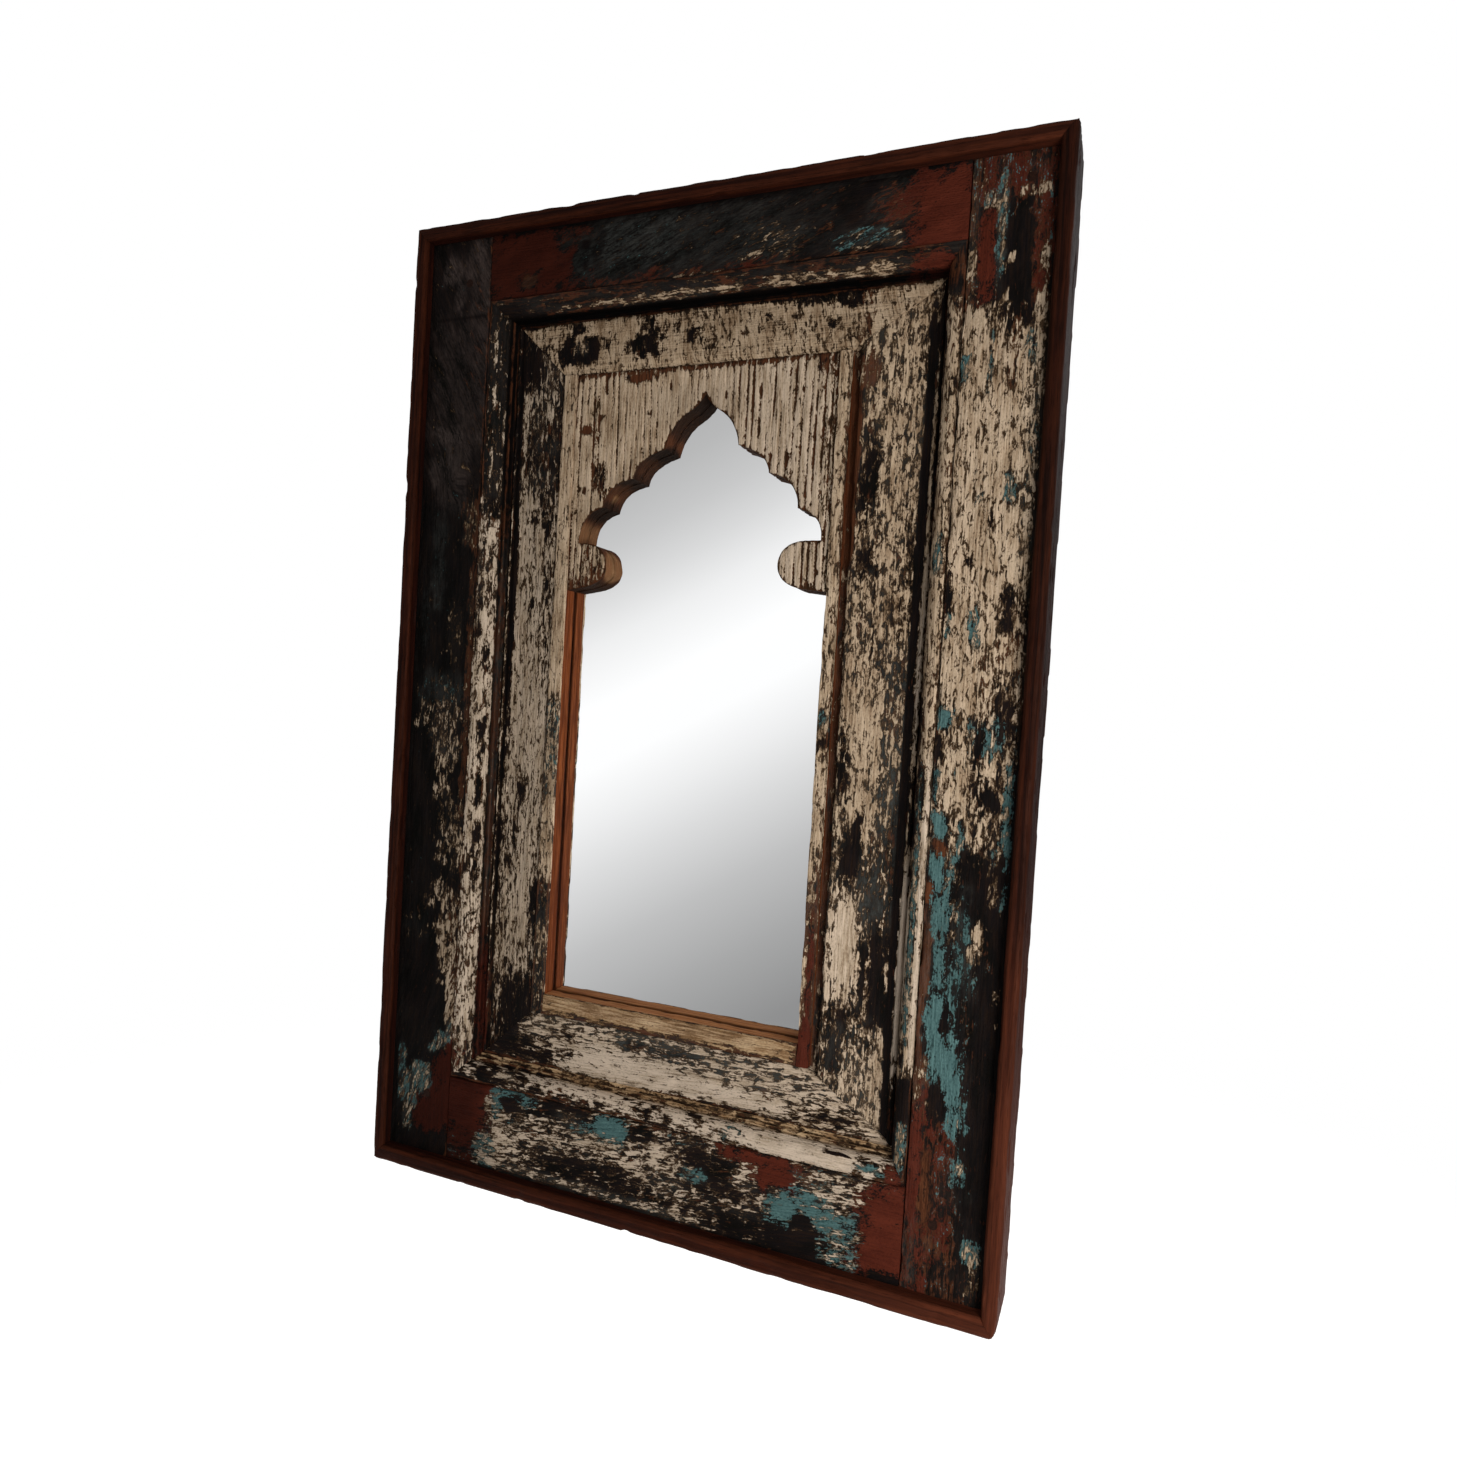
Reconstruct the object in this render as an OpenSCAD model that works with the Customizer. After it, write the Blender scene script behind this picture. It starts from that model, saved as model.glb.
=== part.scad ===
// Wall mirror: a worn, painted panel frame of reclaimed boards round a narrow
// upright glass, with a cusped arch sawn into the board above it.
// Front faces -Y, +Z is up. The origin is the middle of the bottom edge, on
// the wall plane that the rear edges of the lipping touch. Millimetres.

/* [Overall] */
// Width over the edge lipping
frame_w = 450; // [440:5:520]
// Height over the edge lipping
frame_h = 675; // [620:5:900]
// Depth from the front of the lipping to the wall
depth = 44.5; // [44.5:0.5:54]

/* [Edge lipping] */
// Thickness of the lipping on the sides and top
strip_t = 10; // [8:0.5:12]
// Thickness of the lipping along the bottom
strip_bottom_t = 12.5; // [9:0.5:14]
// How far the lipping stands in front of the flat boards
strip_proud = 8.4; // [5:0.2:8.4]
// Radius of the worn bottom corners, seen from the front
corner_r = 9; // [3:1:10]

/* [Flat boards] */
// Left board, from the outer edge to its inner edge
left_w = 61; // [56:1:70]
// Right board, from the outer edge to its inner edge
right_w = 58; // [54:0.5:66]
// Top board, from the outer edge to its inner edge
top_w = 54.4; // [48:0.2:60]
// Bottom board, from the outer edge to its inner edge
bottom_w = 71; // [64:1:80]

/* [Mouldings] */
// Width of the stepped bead inside the boards, on the left and at the bottom
bead_w = 16.4; // [15:0.2:19]
// Width of the bead on the right, which has no step
bead_right_w = 11.4; // [11.4:0.2:18]
// Width of the bead at the top, with its groove but no step
bead_top_w = 14.2; // [13.8:0.2:18]
// Width of the rising inner frame on the left
inner_w = 47.4; // [42:0.2:50]
// Width of the rising inner frame on the right
inner_right_w = 53.4; // [46:0.2:56]
// Width of the rising inner frame at the bottom
inner_bottom_w = 41.2; // [38:0.2:48]
// Width of the rising inner frame at the top
inner_top_w = 41.8; // [38:0.2:46]
// Width of the square slip on the left of the sight opening
slip_left_w = 9.8; // [7:0.2:12]
// Width of the square slip on the right
slip_right_w = 7.8; // [6:0.2:10]
// Width of the square slip along the bottom
slip_bottom_w = 14; // [8:0.5:16]

/* [Arch] */
// Height from the lobes' underside to the point of the arch
arch_h = 126; // [110:1:140]
// Sideways lean of the hand-sawn arch at its point
arch_lean = 3.6; // [0:0.2:5]

/* [Glass] */
// Thickness of the mirror glass
glass_t = 3; // [3:0.5:3.5]
// Thickness of the sheet that closes the back
backing_t = 3; // [2:0.5:3]

/* [Hanging rings] */
// Height of the ring pivots above the bottom edge
hanger_z = 520; // [480:10:540]
// Distance of each ring from the middle
hanger_x = 172; // [165:1:180]
// Wire diameter of the rings
wire_d = 2.4; // [2:0.1:2.4]

/* [Hidden] */
$fn = 48;
e = 0.01;

// Depths, counted back from the front of the lipping
d_board = strip_proud;            // face of the flat boards
d_glass = d_board + 15.4;         // front of the glass, back of the slips and arch
d_joint = d_board + 19.6;         // plane where the front and rear layers meet
d_back = d_joint + 11;            // back of the rear layer
d_slip = d_board + 1.6;           // face of the square slips
d_arch = d_board + 3.3;           // face of the arch panel

// Outlines, seen from the front
hw = frame_w / 2;
x_l = -hw + left_w;               // inner edges of the flat boards
x_r = hw - right_w;
z_t = frame_h - top_w;
z_b = bottom_w;
gx_l = x_l + bead_w;              // groove between bead and inner frame
gx_r = x_r - bead_right_w;
gz_t = z_t - bead_top_w;
gz_b = z_b + bead_w;
sx_l = gx_l + inner_w;            // inner edges of the inner frame
sx_r = gx_r - inner_right_w;
sz_t = gz_t - inner_top_w;
sz_b = gz_b + inner_bottom_w;
ox_l = sx_l + slip_left_w;        // sight opening
ox_r = sx_r - slip_right_w;
oz_b = sz_b + slip_bottom_w;
ox_m = (ox_l + ox_r) / 2;
o_hw = (ox_r - ox_l) / 2;

// Glass and the sheet on the back
play = 0.8;                       // gap round the glass inside the inner frame
back_lap = 30;                    // sheet beyond the opening on each side

// Joints and fasteners
tenon_l = 40;
tenon_t = 6;
tenon_h = 36;                     // height of each tenon
peg_r = 2.8;
nail_r = 0.8;
pin_r = 0.7;
screw_r = 1.75;
fit = 0.05;                       // radial clearance of every fastener
peg_z_t = frame_h - strip_t - (top_w - strip_t) / 2;
peg_z_b = strip_bottom_t + (bottom_w - strip_bottom_t) / 2;
// Pegs, set by eye and so not in line
PEGS = [[x_l - 18, peg_z_t - 8], [x_r + 33.5, peg_z_t + 7.5],
        [x_l - 20, peg_z_b + 13], [x_r + 17.5, peg_z_b + 12]];
SIDE_NAIL_Z = [for (i = [0:3]) frame_h * (0.12 + 0.253 * i)];
END_NAIL_X = [for (i = [-1:1]) i * frame_w * 0.34];
nail_d = d_board + 9.5;           // depth of the lipping nails
REAR_SCREWS = concat(
    [for (s = [-1, 1], i = [0:2]) [s * (hw - 36), 110 + (frame_h - 210) * i / 2]],
    [for (s = [-1, 1]) [s * 60, frame_h - 32]],
    [for (s = [-1, 1]) [s * 60, 38]]);
bx0 = ox_l - back_lap;
bx1 = ox_r + back_lap;
bz0 = oz_b - back_lap;
bz1 = sz_t + back_lap;
PINS = concat(
    [for (x = [bx0 + 6, bx1 - 6], i = [0:3]) [x, bz0 + 20 + (bz1 - bz0 - 40) * i / 3]],
    [for (z = [bz0 + 6, bz1 - 6], s = [-1, 1]) [ox_m + s * 40, z]]);

// Hanging hardware
sheet_t = 0.9;
bore_r = wire_d / 2 + fit;
plate_t = 1.2;
pivot_y = d_back + plate_t + 0.4 + wire_d / 2 - depth;
plate_w = 13;
plate_h = 44;
ring_in = 11;                     // half width of the ring to the wire's middle
PLATE_HOLES = [-24, -38];

// A box given by its outline from the front and its depths
module slab(x0, x1, z0, z1, d0, d1)
    translate([x0, d0 - depth, z0]) cube([x1 - x0, d1 - d0, z1 - z0]);

// A polygon of [x, z] points through the depths d0 to d1
module prism(pts, d0, d1)
    translate([0, d1 - depth, 0]) rotate([90, 0, 0])
        linear_extrude(height = d1 - d0) polygon(pts);

// A round hole or pin along Y between two depths
module rod(x, z, r, d0, d1, fn = 32)
    translate([x, d0 - depth, z]) rotate([-90, 0, 0]) cylinder(r = r, h = d1 - d0, $fn = fn);

// A profile in (width, depth), run up the left or right side of a ring
module run_side(left, x_out)
    translate([x_out, -depth, 0]) mirror([left ? 0 : 1, 0, 0])
        linear_extrude(height = frame_h) children();

// The same profile, run along the top or bottom of a ring
module run_end(top, z_out)
    translate([-hw, -depth, z_out]) rotate([0, 90, 0])
        linear_extrude(height = frame_w) mirror([top ? 0 : 1, 0]) children();

// The mitred outline of one member of a ring, from its outer to inner rectangle
module mitre(side, xl, xr, zb, zt, il, ir, ib, it) {
    pts = side == "l" ? [[xl, zb], [il, ib], [il, it], [xl, zt]]
        : side == "r" ? [[xr, zb], [xr, zt], [ir, it], [ir, ib]]
        : side == "t" ? [[xl, zt], [il, it], [ir, it], [xr, zt]]
        : [[xl, zb], [xr, zb], [ir, ib], [il, ib]];
    prism(pts, -1, depth + 1);
}

// ---- Edge lipping ----

// Lipping section: rounded front, square back
module strip_2d(t) {
    r = 3.6;
    difference() {
        square([t, depth]);
        difference() {
            translate([-1, -1]) square([r + 1, r + 1]);
            translate([r, r]) circle(r = r, $fn = 40);
        }
        difference() {
            translate([t - r, -1]) square([r + 1, r + 1]);
            translate([t - r, r]) circle(r = r, $fn = 40);
        }
    }
}

module strip_mitre(side)
    mitre(side, -hw, hw, 0, frame_h, -hw + strip_t, hw - strip_t, strip_bottom_t, frame_h - strip_t);

module nail_holes()
    lipping_nails(fit);

module strip_side(left)
    color([0.30, 0.14, 0.09]) difference() {
        intersection() {
            run_side(left, left ? -hw : hw) strip_2d(strip_t);
            strip_mitre(left ? "l" : "r");
        }
        round_corner(left);
        nail_holes();
    }

// Wood removed from a worn bottom corner
module round_corner(left)
    mirror([left ? 1 : 0, 0, 0])
        difference() {
            slab(hw - corner_r, hw + 1, -1, corner_r, -1, depth + 1);
            rod(hw - corner_r, corner_r, corner_r, -2, depth + 2, 48);
        }

module edge_strip_left() strip_side(true);
module edge_strip_right() strip_side(false);

module edge_strip_top()
    color([0.27, 0.14, 0.10]) difference() {
        intersection() {
            run_end(true, frame_h) strip_2d(strip_t);
            strip_mitre("t");
        }
        nail_holes();
    }

module edge_strip_bottom()
    color([0.27, 0.12, 0.09]) difference() {
        intersection() {
            run_end(false, 0) strip_2d(strip_bottom_t);
            strip_mitre("b");
        }
        round_corner(true);
        round_corner(false);
        nail_holes();
    }

// ---- Flat boards, pegged mortise and tenon at each corner ----

d_tenon = d_board + 6;

module stile(left, c)
    color(c) difference() {
        if (left) slab(-hw + strip_t, x_l, strip_bottom_t, frame_h - strip_t, d_board, d_joint);
        else slab(x_r, hw - strip_t, strip_bottom_t, frame_h - strip_t, d_board, d_joint);
        for (z = [peg_z_t, peg_z_b])
            if (left) slab(x_l - tenon_l, x_l + 1, z - tenon_h / 2, z + tenon_h / 2, d_tenon, d_tenon + tenon_t);
            else slab(x_r - 1, x_r + tenon_l, z - tenon_h / 2, z + tenon_h / 2, d_tenon, d_tenon + tenon_t);
        for (p = PEGS) rod(p[0], p[1], peg_r + fit, d_board - 1, d_joint + 1);
        nail_holes();
        screw_holes();
    }

module rail(z0, z1, zm, c)
    color(c) difference() {
        union() {
            slab(x_l, x_r, z0, z1, d_board, d_joint);
            slab(x_l - tenon_l, x_l + e, zm - tenon_h / 2, zm + tenon_h / 2, d_tenon, d_tenon + tenon_t);
            slab(x_r - e, x_r + tenon_l, zm - tenon_h / 2, zm + tenon_h / 2, d_tenon, d_tenon + tenon_t);
        }
        for (p = PEGS) rod(p[0], p[1], peg_r + fit, d_board - 1, d_joint + 1);
        nail_holes();
        screw_holes();
    }

module stile_left() stile(true, [0.12, 0.12, 0.14]);
module stile_right() stile(false, [0.62, 0.58, 0.52]);
module rail_top() rail(z_t, frame_h - strip_t, peg_z_t, [0.20, 0.16, 0.15]);
module rail_bottom() rail(strip_bottom_t, z_b, peg_z_b, [0.50, 0.50, 0.47]);

module frame_pegs()
    color([0.28, 0.20, 0.14])
        for (p = PEGS) rod(p[0], p[1], peg_r, d_board, d_joint - 1);

// ---- Stepped bead moulding ----

bead_r = 9.6;

// Section w wide: quirk at the board and quarter-round, then a small step and
// a groove where the width leaves room for them
module bead_2d(w) {
    difference() {
        translate([0, d_board]) square([w, d_joint - d_board]);
        translate([-1, d_board - 1]) square([w + 2, 1.6]);
        difference() {
            translate([1.8, d_board - 1]) square([w, bead_r + 1.6]);
            translate([1.8, d_board + 0.6 + bead_r]) circle(r = bead_r, $fn = 64);
        }
        if (w > 1.8 + bead_r) {
            translate([1.8 + bead_r, d_board - 1]) square([w, bead_r + 3]);
            translate([w - 2.6, d_board - 1]) square([w, bead_r + 5.4]);
        }
    }
}

module bead(side, c)
    color(c) intersection() {
        if (side == "l") run_side(true, x_l) bead_2d(bead_w);
        else if (side == "r") run_side(false, x_r) bead_2d(bead_right_w);
        else if (side == "t") run_end(true, z_t) bead_2d(bead_top_w);
        else run_end(false, z_b) bead_2d(bead_w);
        mitre(side, x_l, x_r, z_b, z_t, gx_l, gx_r, gz_b, gz_t);
    }

module bead_left() bead("l", [0.35, 0.32, 0.29]);
module bead_right() bead("r", [0.66, 0.62, 0.55]);
module bead_top() bead("t", [0.25, 0.17, 0.14]);
module bead_bottom() bead("b", [0.72, 0.70, 0.62]);

// ---- Inner frame with its face rising towards the opening ----

nose_d = d_board + 3.6;           // highest line of the rising face
low_d = d_board + 14.2;           // lowest line of the rising face
quirk_w = 4;

// Share of the rise reached at t, from 0 to 1: mostly straight, eased at its ends
function rise(t) = 0.65 * t + 0.35 * (3 * t * t - 2 * t * t * t);

// Section of a member, drawn 47.4 wide: a fine bead of radius r if there is
// one, the face rising from w0 to a rounded nose at wn, then the plain inner
// edge or, if q is given, a quirk down to depth q
function section_pts(w0, r, wn, q) = concat(
    [[0, d_joint], [0, low_d]],
    r > 0 ? concat(
        [for (a = [180:-30:0]) [0.6 + r + r * cos(a), low_d - 0.3 - 0.9 * r * sin(a)]],
        [[0.8 + 2 * r, low_d]]) : [],
    [for (i = [0:11]) [w0 + (wn - w0) * i / 12, low_d - (low_d - nose_d) * rise(i / 12)]],
    [for (a = [110:-19.6:11]) [wn + 2 * cos(a), nose_d + 2 - 2 * sin(a)]],
    q > 0 ? [[47.4 - quirk_w, q], [47.4, q]] : [[47.4, nose_d + 2]],
    [[47.4, d_joint]]);

// The section w wide for one side: the fine bead runs up the sides only, and
// only the right side has a quirk
function inner_pts(side, w) = [
    for (p = side == "l" ? section_pts(6.4, 1.6, 45.4, 0)
           : side == "r" ? section_pts(8.8, 1.9, 45.4 - quirk_w, d_board + 8)
           : section_pts(1.2, 0, 45.4, 0)) [p[0] * w / 47.4, p[1]]];

module inner(side, c)
    color(c) intersection() {
        if (side == "l") run_side(true, gx_l) polygon(inner_pts(side, inner_w));
        else if (side == "r") run_side(false, gx_r) polygon(inner_pts(side, inner_right_w));
        else if (side == "t") run_end(true, gz_t) polygon(inner_pts(side, inner_top_w));
        else run_end(false, gz_b) polygon(inner_pts(side, inner_bottom_w));
        mitre(side, gx_l, gx_r, gz_b, gz_t, sx_l, sx_r, sz_b, sz_t);
    }

module inner_left() inner("l", [0.58, 0.54, 0.47]);
module inner_right() inner("r", [0.62, 0.58, 0.50]);
module inner_top() inner("t", [0.68, 0.63, 0.53]);
module inner_bottom() inner("b", [0.55, 0.53, 0.48]);

// ---- Square slips round the sight opening ----

module slip(side, c)
    color(c)
        if (side == "l") slab(sx_l, ox_l, sz_b, sz_t, d_slip, d_glass);
        else if (side == "r") slab(ox_r, sx_r, sz_b, sz_t, d_slip, d_glass);
        else slab(ox_l, ox_r, sz_b, oz_b, d_slip, d_glass);

module slip_left() slip("l", [0.66, 0.60, 0.48]);
module slip_right() slip("r", [0.64, 0.58, 0.46]);
module slip_bottom() slip("b", [0.66, 0.62, 0.52]);

// ---- Arch ----

// Half of the arch from its point down to the lobe, as fractions of half the
// opening's width and of the arch height. Each row is one curve: its start,
// the corner that bends it, and its end. The two halves were sawn by eye, so
// the third foil and the lobe differ a little from left to right.
function half_arch(c3, lobe, nose) = [
    [[0.000, 1.000], [0.035, 0.948], [0.110, 0.915]],   // hollow side of the point
    [[0.110, 0.915], [0.248, 0.862], [0.280, 0.730]],   // first foil
    [[0.280, 0.730], [0.505, 0.688], [0.520, 0.585]],   // second foil
    [[0.520, 0.585], [0.738, 0.556], [0.748, c3]],      // third foil
    [[0.748, c3], [0.938, c3 - 0.032], [0.932, 0.250]], // fourth foil, to the shoulder
    [[lobe + 0.18, 0.250], [lobe + 0.01, 0.242], [lobe, nose]],  // upper side of the lobe
    [[lobe, nose], [lobe, 0.046], [lobe + 0.16, 0.018]] // under side of the lobe
];
ARCH_R = half_arch(0.408, 0.640, 0.140);
ARCH_L = half_arch(0.440, 0.685, 0.120);
arch_z = sz_t - 18.6 - arch_h;    // height of the lobes' underside
steps = 7;

// A point on a curve bent by one corner
function bend(c, t) = (1 - t) * (1 - t) * c[0] + 2 * t * (1 - t) * c[1] + t * t * c[2];
// Fractions to millimetres, with the lean growing towards the point
function arch_pt(p, s) = [ox_m + s * p[0] * o_hw + arch_lean * p[1], arch_z + p[1] * arch_h];
function arch_half(s) = [for (c = s > 0 ? ARCH_R : ARCH_L, i = [0:steps]) arch_pt(bend(c, i / steps), s)];
function flip(v) = [for (i = [len(v) - 1:-1:1]) v[i]];

arch_pts = concat([[ox_l, sz_t], [ox_l, arch_z]], flip(arch_half(-1)),
                  arch_half(1), [[ox_r, arch_z], [ox_r, sz_t]]);

module arch_panel()
    color([0.74, 0.70, 0.60]) prism(arch_pts, d_arch, d_glass);

// ---- Glass, the rear layer that clamps it, and the backing ----

// Outline of the glass: inside the inner frame, behind the slips and the arch
module glass_slab(d0, d1)
    slab(sx_l + play, sx_r - play, sz_b + play, sz_t - play, d0, d1);

module rear_cuts() {
    screw_holes();
    pin_holes();
    hanger_holes();
}

module rear_stile(left)
    color([0.50, 0.33, 0.20]) difference() {
        if (left) slab(-hw + strip_t, ox_l, strip_bottom_t, frame_h - strip_t, d_joint, d_back);
        else slab(ox_r, hw - strip_t, strip_bottom_t, frame_h - strip_t, d_joint, d_back);
        rear_cuts();
    }

module rear_rail(z0, z1)
    color([0.47, 0.30, 0.18]) difference() {
        slab(ox_l, ox_r, z0, z1, d_joint, d_back);
        rear_cuts();
    }

module rear_stile_left() rear_stile(true);
module rear_stile_right() rear_stile(false);
module rear_rail_top() rear_rail(sz_t, frame_h - strip_t);
module rear_rail_bottom() rear_rail(strip_bottom_t, oz_b);

module mirror_glass()
    color([0.78, 0.79, 0.80])
        glass_slab(d_glass, d_glass + glass_t);

// Thin sheet between the glass and the rear layer
module glass_packing()
    color([0.48, 0.40, 0.30])
        glass_slab(d_glass + glass_t, d_joint);

module backing_board()
    color([0.42, 0.29, 0.18]) difference() {
        slab(bx0, bx1, bz0, bz1, d_back, d_back + backing_t);
        pin_holes();
    }

// ---- Fasteners ----

// A countersunk screw pointing forward from depth d, n long
module screw(x, z, d, n, grow) {
    rod(x, z, screw_r - fit + grow, d - n, d);
    translate([x, d - depth, z]) rotate([90, 0, 0])
        cylinder(r1 = 3.5 + grow, r2 = screw_r - fit + grow, h = 2, $fn = 32);
}

module screw_holes()
    for (p = REAR_SCREWS) screw(p[0], p[1], d_back, 24, fit);

module rear_screws()
    color([0.45, 0.43, 0.40])
        for (p = REAR_SCREWS) difference() {
            screw(p[0], p[1], d_back, 23.5, 0);
            cross_slot(p[0], p[1], d_back);
        }

// Cross recess in a screw head
module cross_slot(x, z, d)
    for (a = [0, 90]) translate([x, d - depth, z]) rotate([0, a, 0])
        translate([-1.9, -1.1, -0.35]) cube([3.8, 2, 0.7]);

// Lipping nails: heads just under the outer faces, shanks into the boards
module one_nail(grow) {
    translate([0, 0, 1 - (grow > 0 ? 2 : 0)]) cylinder(r = 1.5 + grow, h = 1 + (grow > 0 ? 2 : 0), $fn = 24);
    translate([0, 0, 2 - e]) cylinder(r = nail_r + grow, h = 26, $fn = 24);
}

module lipping_nails(grow) {
    y = nail_d - depth;
    for (z = SIDE_NAIL_Z) {
        translate([-hw, y, z]) rotate([0, 90, 0]) one_nail(grow);
        translate([hw, y, z]) rotate([0, -90, 0]) one_nail(grow);
    }
    for (x = END_NAIL_X) {
        translate([x, y, frame_h]) rotate([180, 0, 0]) one_nail(grow);
        translate([x, y, 0]) one_nail(grow);
    }
}

module strip_nails()
    color([0.25, 0.22, 0.20]) lipping_nails(0);

module pin(x, z, grow) {
    rod(x, z, pin_r + grow, d_back - 8, d_back + backing_t + (grow > 0 ? 1 : 0), 24);
    if (grow == 0) rod(x, z, 1.6, d_back + backing_t, d_back + backing_t + 0.6, 24);
}

module pin_holes() for (p = PINS) pin(p[0], p[1], fit);

module backing_pins()
    color([0.40, 0.36, 0.32]) for (p = PINS) pin(p[0], p[1], 0);

// ---- Hanging hardware ----

module hanger_holes()
    for (s = [-1, 1], h = PLATE_HOLES) screw(s * hanger_x, hanger_z + h, d_back + plate_t, 12.5, fit);

// Strap with its top curled round the ring's straight side
module hanger_plate(s)
    color([0.62, 0.56, 0.42]) difference() {
        union() {
            translate([s * hanger_x - plate_w / 2, d_back - depth, hanger_z - plate_h])
                cube([plate_w, plate_t, plate_h]);
            translate([s * hanger_x - plate_w / 2, pivot_y, hanger_z]) rotate([0, 90, 0])
                cylinder(r = bore_r + sheet_t, h = plate_w, $fn = 40);
            translate([s * hanger_x - plate_w / 2, d_back - depth, hanger_z - bore_r - sheet_t])
                cube([plate_w, pivot_y - (d_back - depth), 2 * bore_r + sheet_t]);
        }
        translate([s * hanger_x - plate_w, pivot_y, hanger_z]) rotate([0, 90, 0])
            cylinder(r = bore_r, h = 2 * plate_w, $fn = 40);
        for (h = PLATE_HOLES) screw(s * hanger_x, hanger_z + h, d_back + plate_t, 12.5, fit);
    }

module hanger_plate_left() hanger_plate(-1);
module hanger_plate_right() hanger_plate(1);

module hanger_screws()
    color([0.55, 0.52, 0.46])
        for (s = [-1, 1], h = PLATE_HOLES) difference() {
            screw(s * hanger_x, hanger_z + h, d_back + plate_t, 12, 0);
            cross_slot(s * hanger_x, hanger_z + h, d_back + plate_t);
        }

// D ring, hanging down from its straight side
module hanger_ring(s)
    color([0.66, 0.60, 0.46]) translate([s * hanger_x, pivot_y, hanger_z]) {
        r = wire_d / 2;
        translate([-ring_in, 0, 0]) rotate([0, 90, 0]) cylinder(r = r, h = 2 * ring_in, $fn = 40);
        for (k = [-1, 1]) {
            translate([k * ring_in, 0, 0]) sphere(r = r, $fn = 40);
            translate([k * ring_in, 0, -5]) cylinder(r = r, h = 5, $fn = 40);
        }
        translate([0, 0, -5]) rotate([90, 0, 0]) rotate([0, 0, 180])
            rotate_extrude(angle = 180, $fn = 64) translate([ring_in, 0]) circle(r = r, $fn = 40);
    }

module hanger_ring_left() hanger_ring(-1);
module hanger_ring_right() hanger_ring(1);

stile_left();
stile_right();
rail_top();
rail_bottom();
edge_strip_left();
edge_strip_right();
edge_strip_top();
edge_strip_bottom();
bead_left();
bead_right();
bead_top();
bead_bottom();
inner_left();
inner_right();
inner_top();
inner_bottom();
slip_left();
slip_right();
slip_bottom();
arch_panel();
rear_stile_left();
rear_stile_right();
rear_rail_top();
rear_rail_bottom();
mirror_glass();
glass_packing();
backing_board();
frame_pegs();
strip_nails();
rear_screws();
backing_pins();
hanger_plate_left();
hanger_plate_right();
hanger_screws();
hanger_ring_left();
hanger_ring_right();
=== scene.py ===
import math

import bpy
import numpy as np
from mathutils import Matrix, Vector
from mathutils.geometry import delaunay_2d_cdt


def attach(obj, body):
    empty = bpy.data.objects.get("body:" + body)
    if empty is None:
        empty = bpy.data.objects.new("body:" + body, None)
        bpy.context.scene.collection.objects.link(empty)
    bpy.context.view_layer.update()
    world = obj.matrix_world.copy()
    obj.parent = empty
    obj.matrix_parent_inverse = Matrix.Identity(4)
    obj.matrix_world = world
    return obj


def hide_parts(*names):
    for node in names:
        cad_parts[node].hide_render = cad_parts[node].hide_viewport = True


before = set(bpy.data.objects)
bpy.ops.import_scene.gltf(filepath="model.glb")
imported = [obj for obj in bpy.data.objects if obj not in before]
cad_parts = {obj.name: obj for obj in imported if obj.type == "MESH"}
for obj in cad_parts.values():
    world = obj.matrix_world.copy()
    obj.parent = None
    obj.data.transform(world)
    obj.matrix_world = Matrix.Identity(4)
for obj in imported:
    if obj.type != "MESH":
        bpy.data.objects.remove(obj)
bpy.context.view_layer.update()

scene = bpy.context.scene

# ---------------------------------------------------------------------------
# Sizes in millimetres, as in the construction. Depth d runs back from the
# front of the lipping, so y = d - DEPTH. Front faces -Y.
# ---------------------------------------------------------------------------
FW, FH, DEPTH = 450.0, 675.0, 44.5
HW = FW / 2
STRIP_T, STRIP_B = 10.0, 12.5
X_L, X_R, Z_T, Z_B = -164.0, 167.0, 620.6, 71.0
GX_L, GX_R, GZ_T, GZ_B = -147.6, 155.6, 606.4, 87.4
SX_L, SX_R, SZ_T, SZ_B = -100.2, 102.2, 564.6, 128.6
OX_L, OX_R, OZ_B = -90.4, 94.4, 142.6
OX_M, O_HW = 2.0, 92.4
SLIP_L, SLIP_R, SLIP_B = 9.8, 7.8, 14.0
D_BOARD, D_SLIP, D_ARCH = 8.4, 10.0, 11.7
NOSE_D, LOW_D = 12.0, 22.6
D_GLASS, D_JOINT, D_BACK = 23.8, 28.0, 39.0

# ---------------------------------------------------------------------------
# Seeded noise
# ---------------------------------------------------------------------------


def lattice(ix, iy, seed):
    h = (ix.astype(np.int64) * 374761393 + iy.astype(np.int64) * 668265263 + seed * 1442695041) & 0xFFFFFFFF
    h = ((h ^ (h >> 13)) * 1274126177) & 0xFFFFFFFF
    h ^= h >> 16
    return (h & 0xFFFFFF) / float(0xFFFFFF)


def vnoise(x, y, seed):
    ix, iy = np.floor(x), np.floor(y)
    fx, fy = x - ix, y - iy
    fx = fx * fx * fx * (fx * (fx * 6 - 15) + 10)
    fy = fy * fy * fy * (fy * (fy * 6 - 15) + 10)
    ix, iy = ix.astype(np.int64), iy.astype(np.int64)
    a, b = lattice(ix, iy, seed), lattice(ix + 1, iy, seed)
    c, d = lattice(ix, iy + 1, seed), lattice(ix + 1, iy + 1, seed)
    return (a * (1 - fx) + b * fx) * (1 - fy) + (c * (1 - fx) + d * fx) * fy


def fbm(x, y, seed, octaves=4, gain=0.5):
    """Sum of octaves, from about 0 to 1 with its middle at 0.5."""
    total, amp, norm = 0.0, 1.0, 0.0
    for i in range(octaves):
        s = 2.0 ** i
        total = total + amp * vnoise(x * s + 17.3 * i, y * s - 9.1 * i, seed + 31 * i)
        norm += amp
        amp *= gain
    return np.clip((total / norm - 0.5) * 1.7 + 0.5, 0, 1)


def smooth(lo, hi, x):
    t = np.clip((x - lo) / (hi - lo), 0, 1)
    return t * t * (3 - 2 * t)


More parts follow.
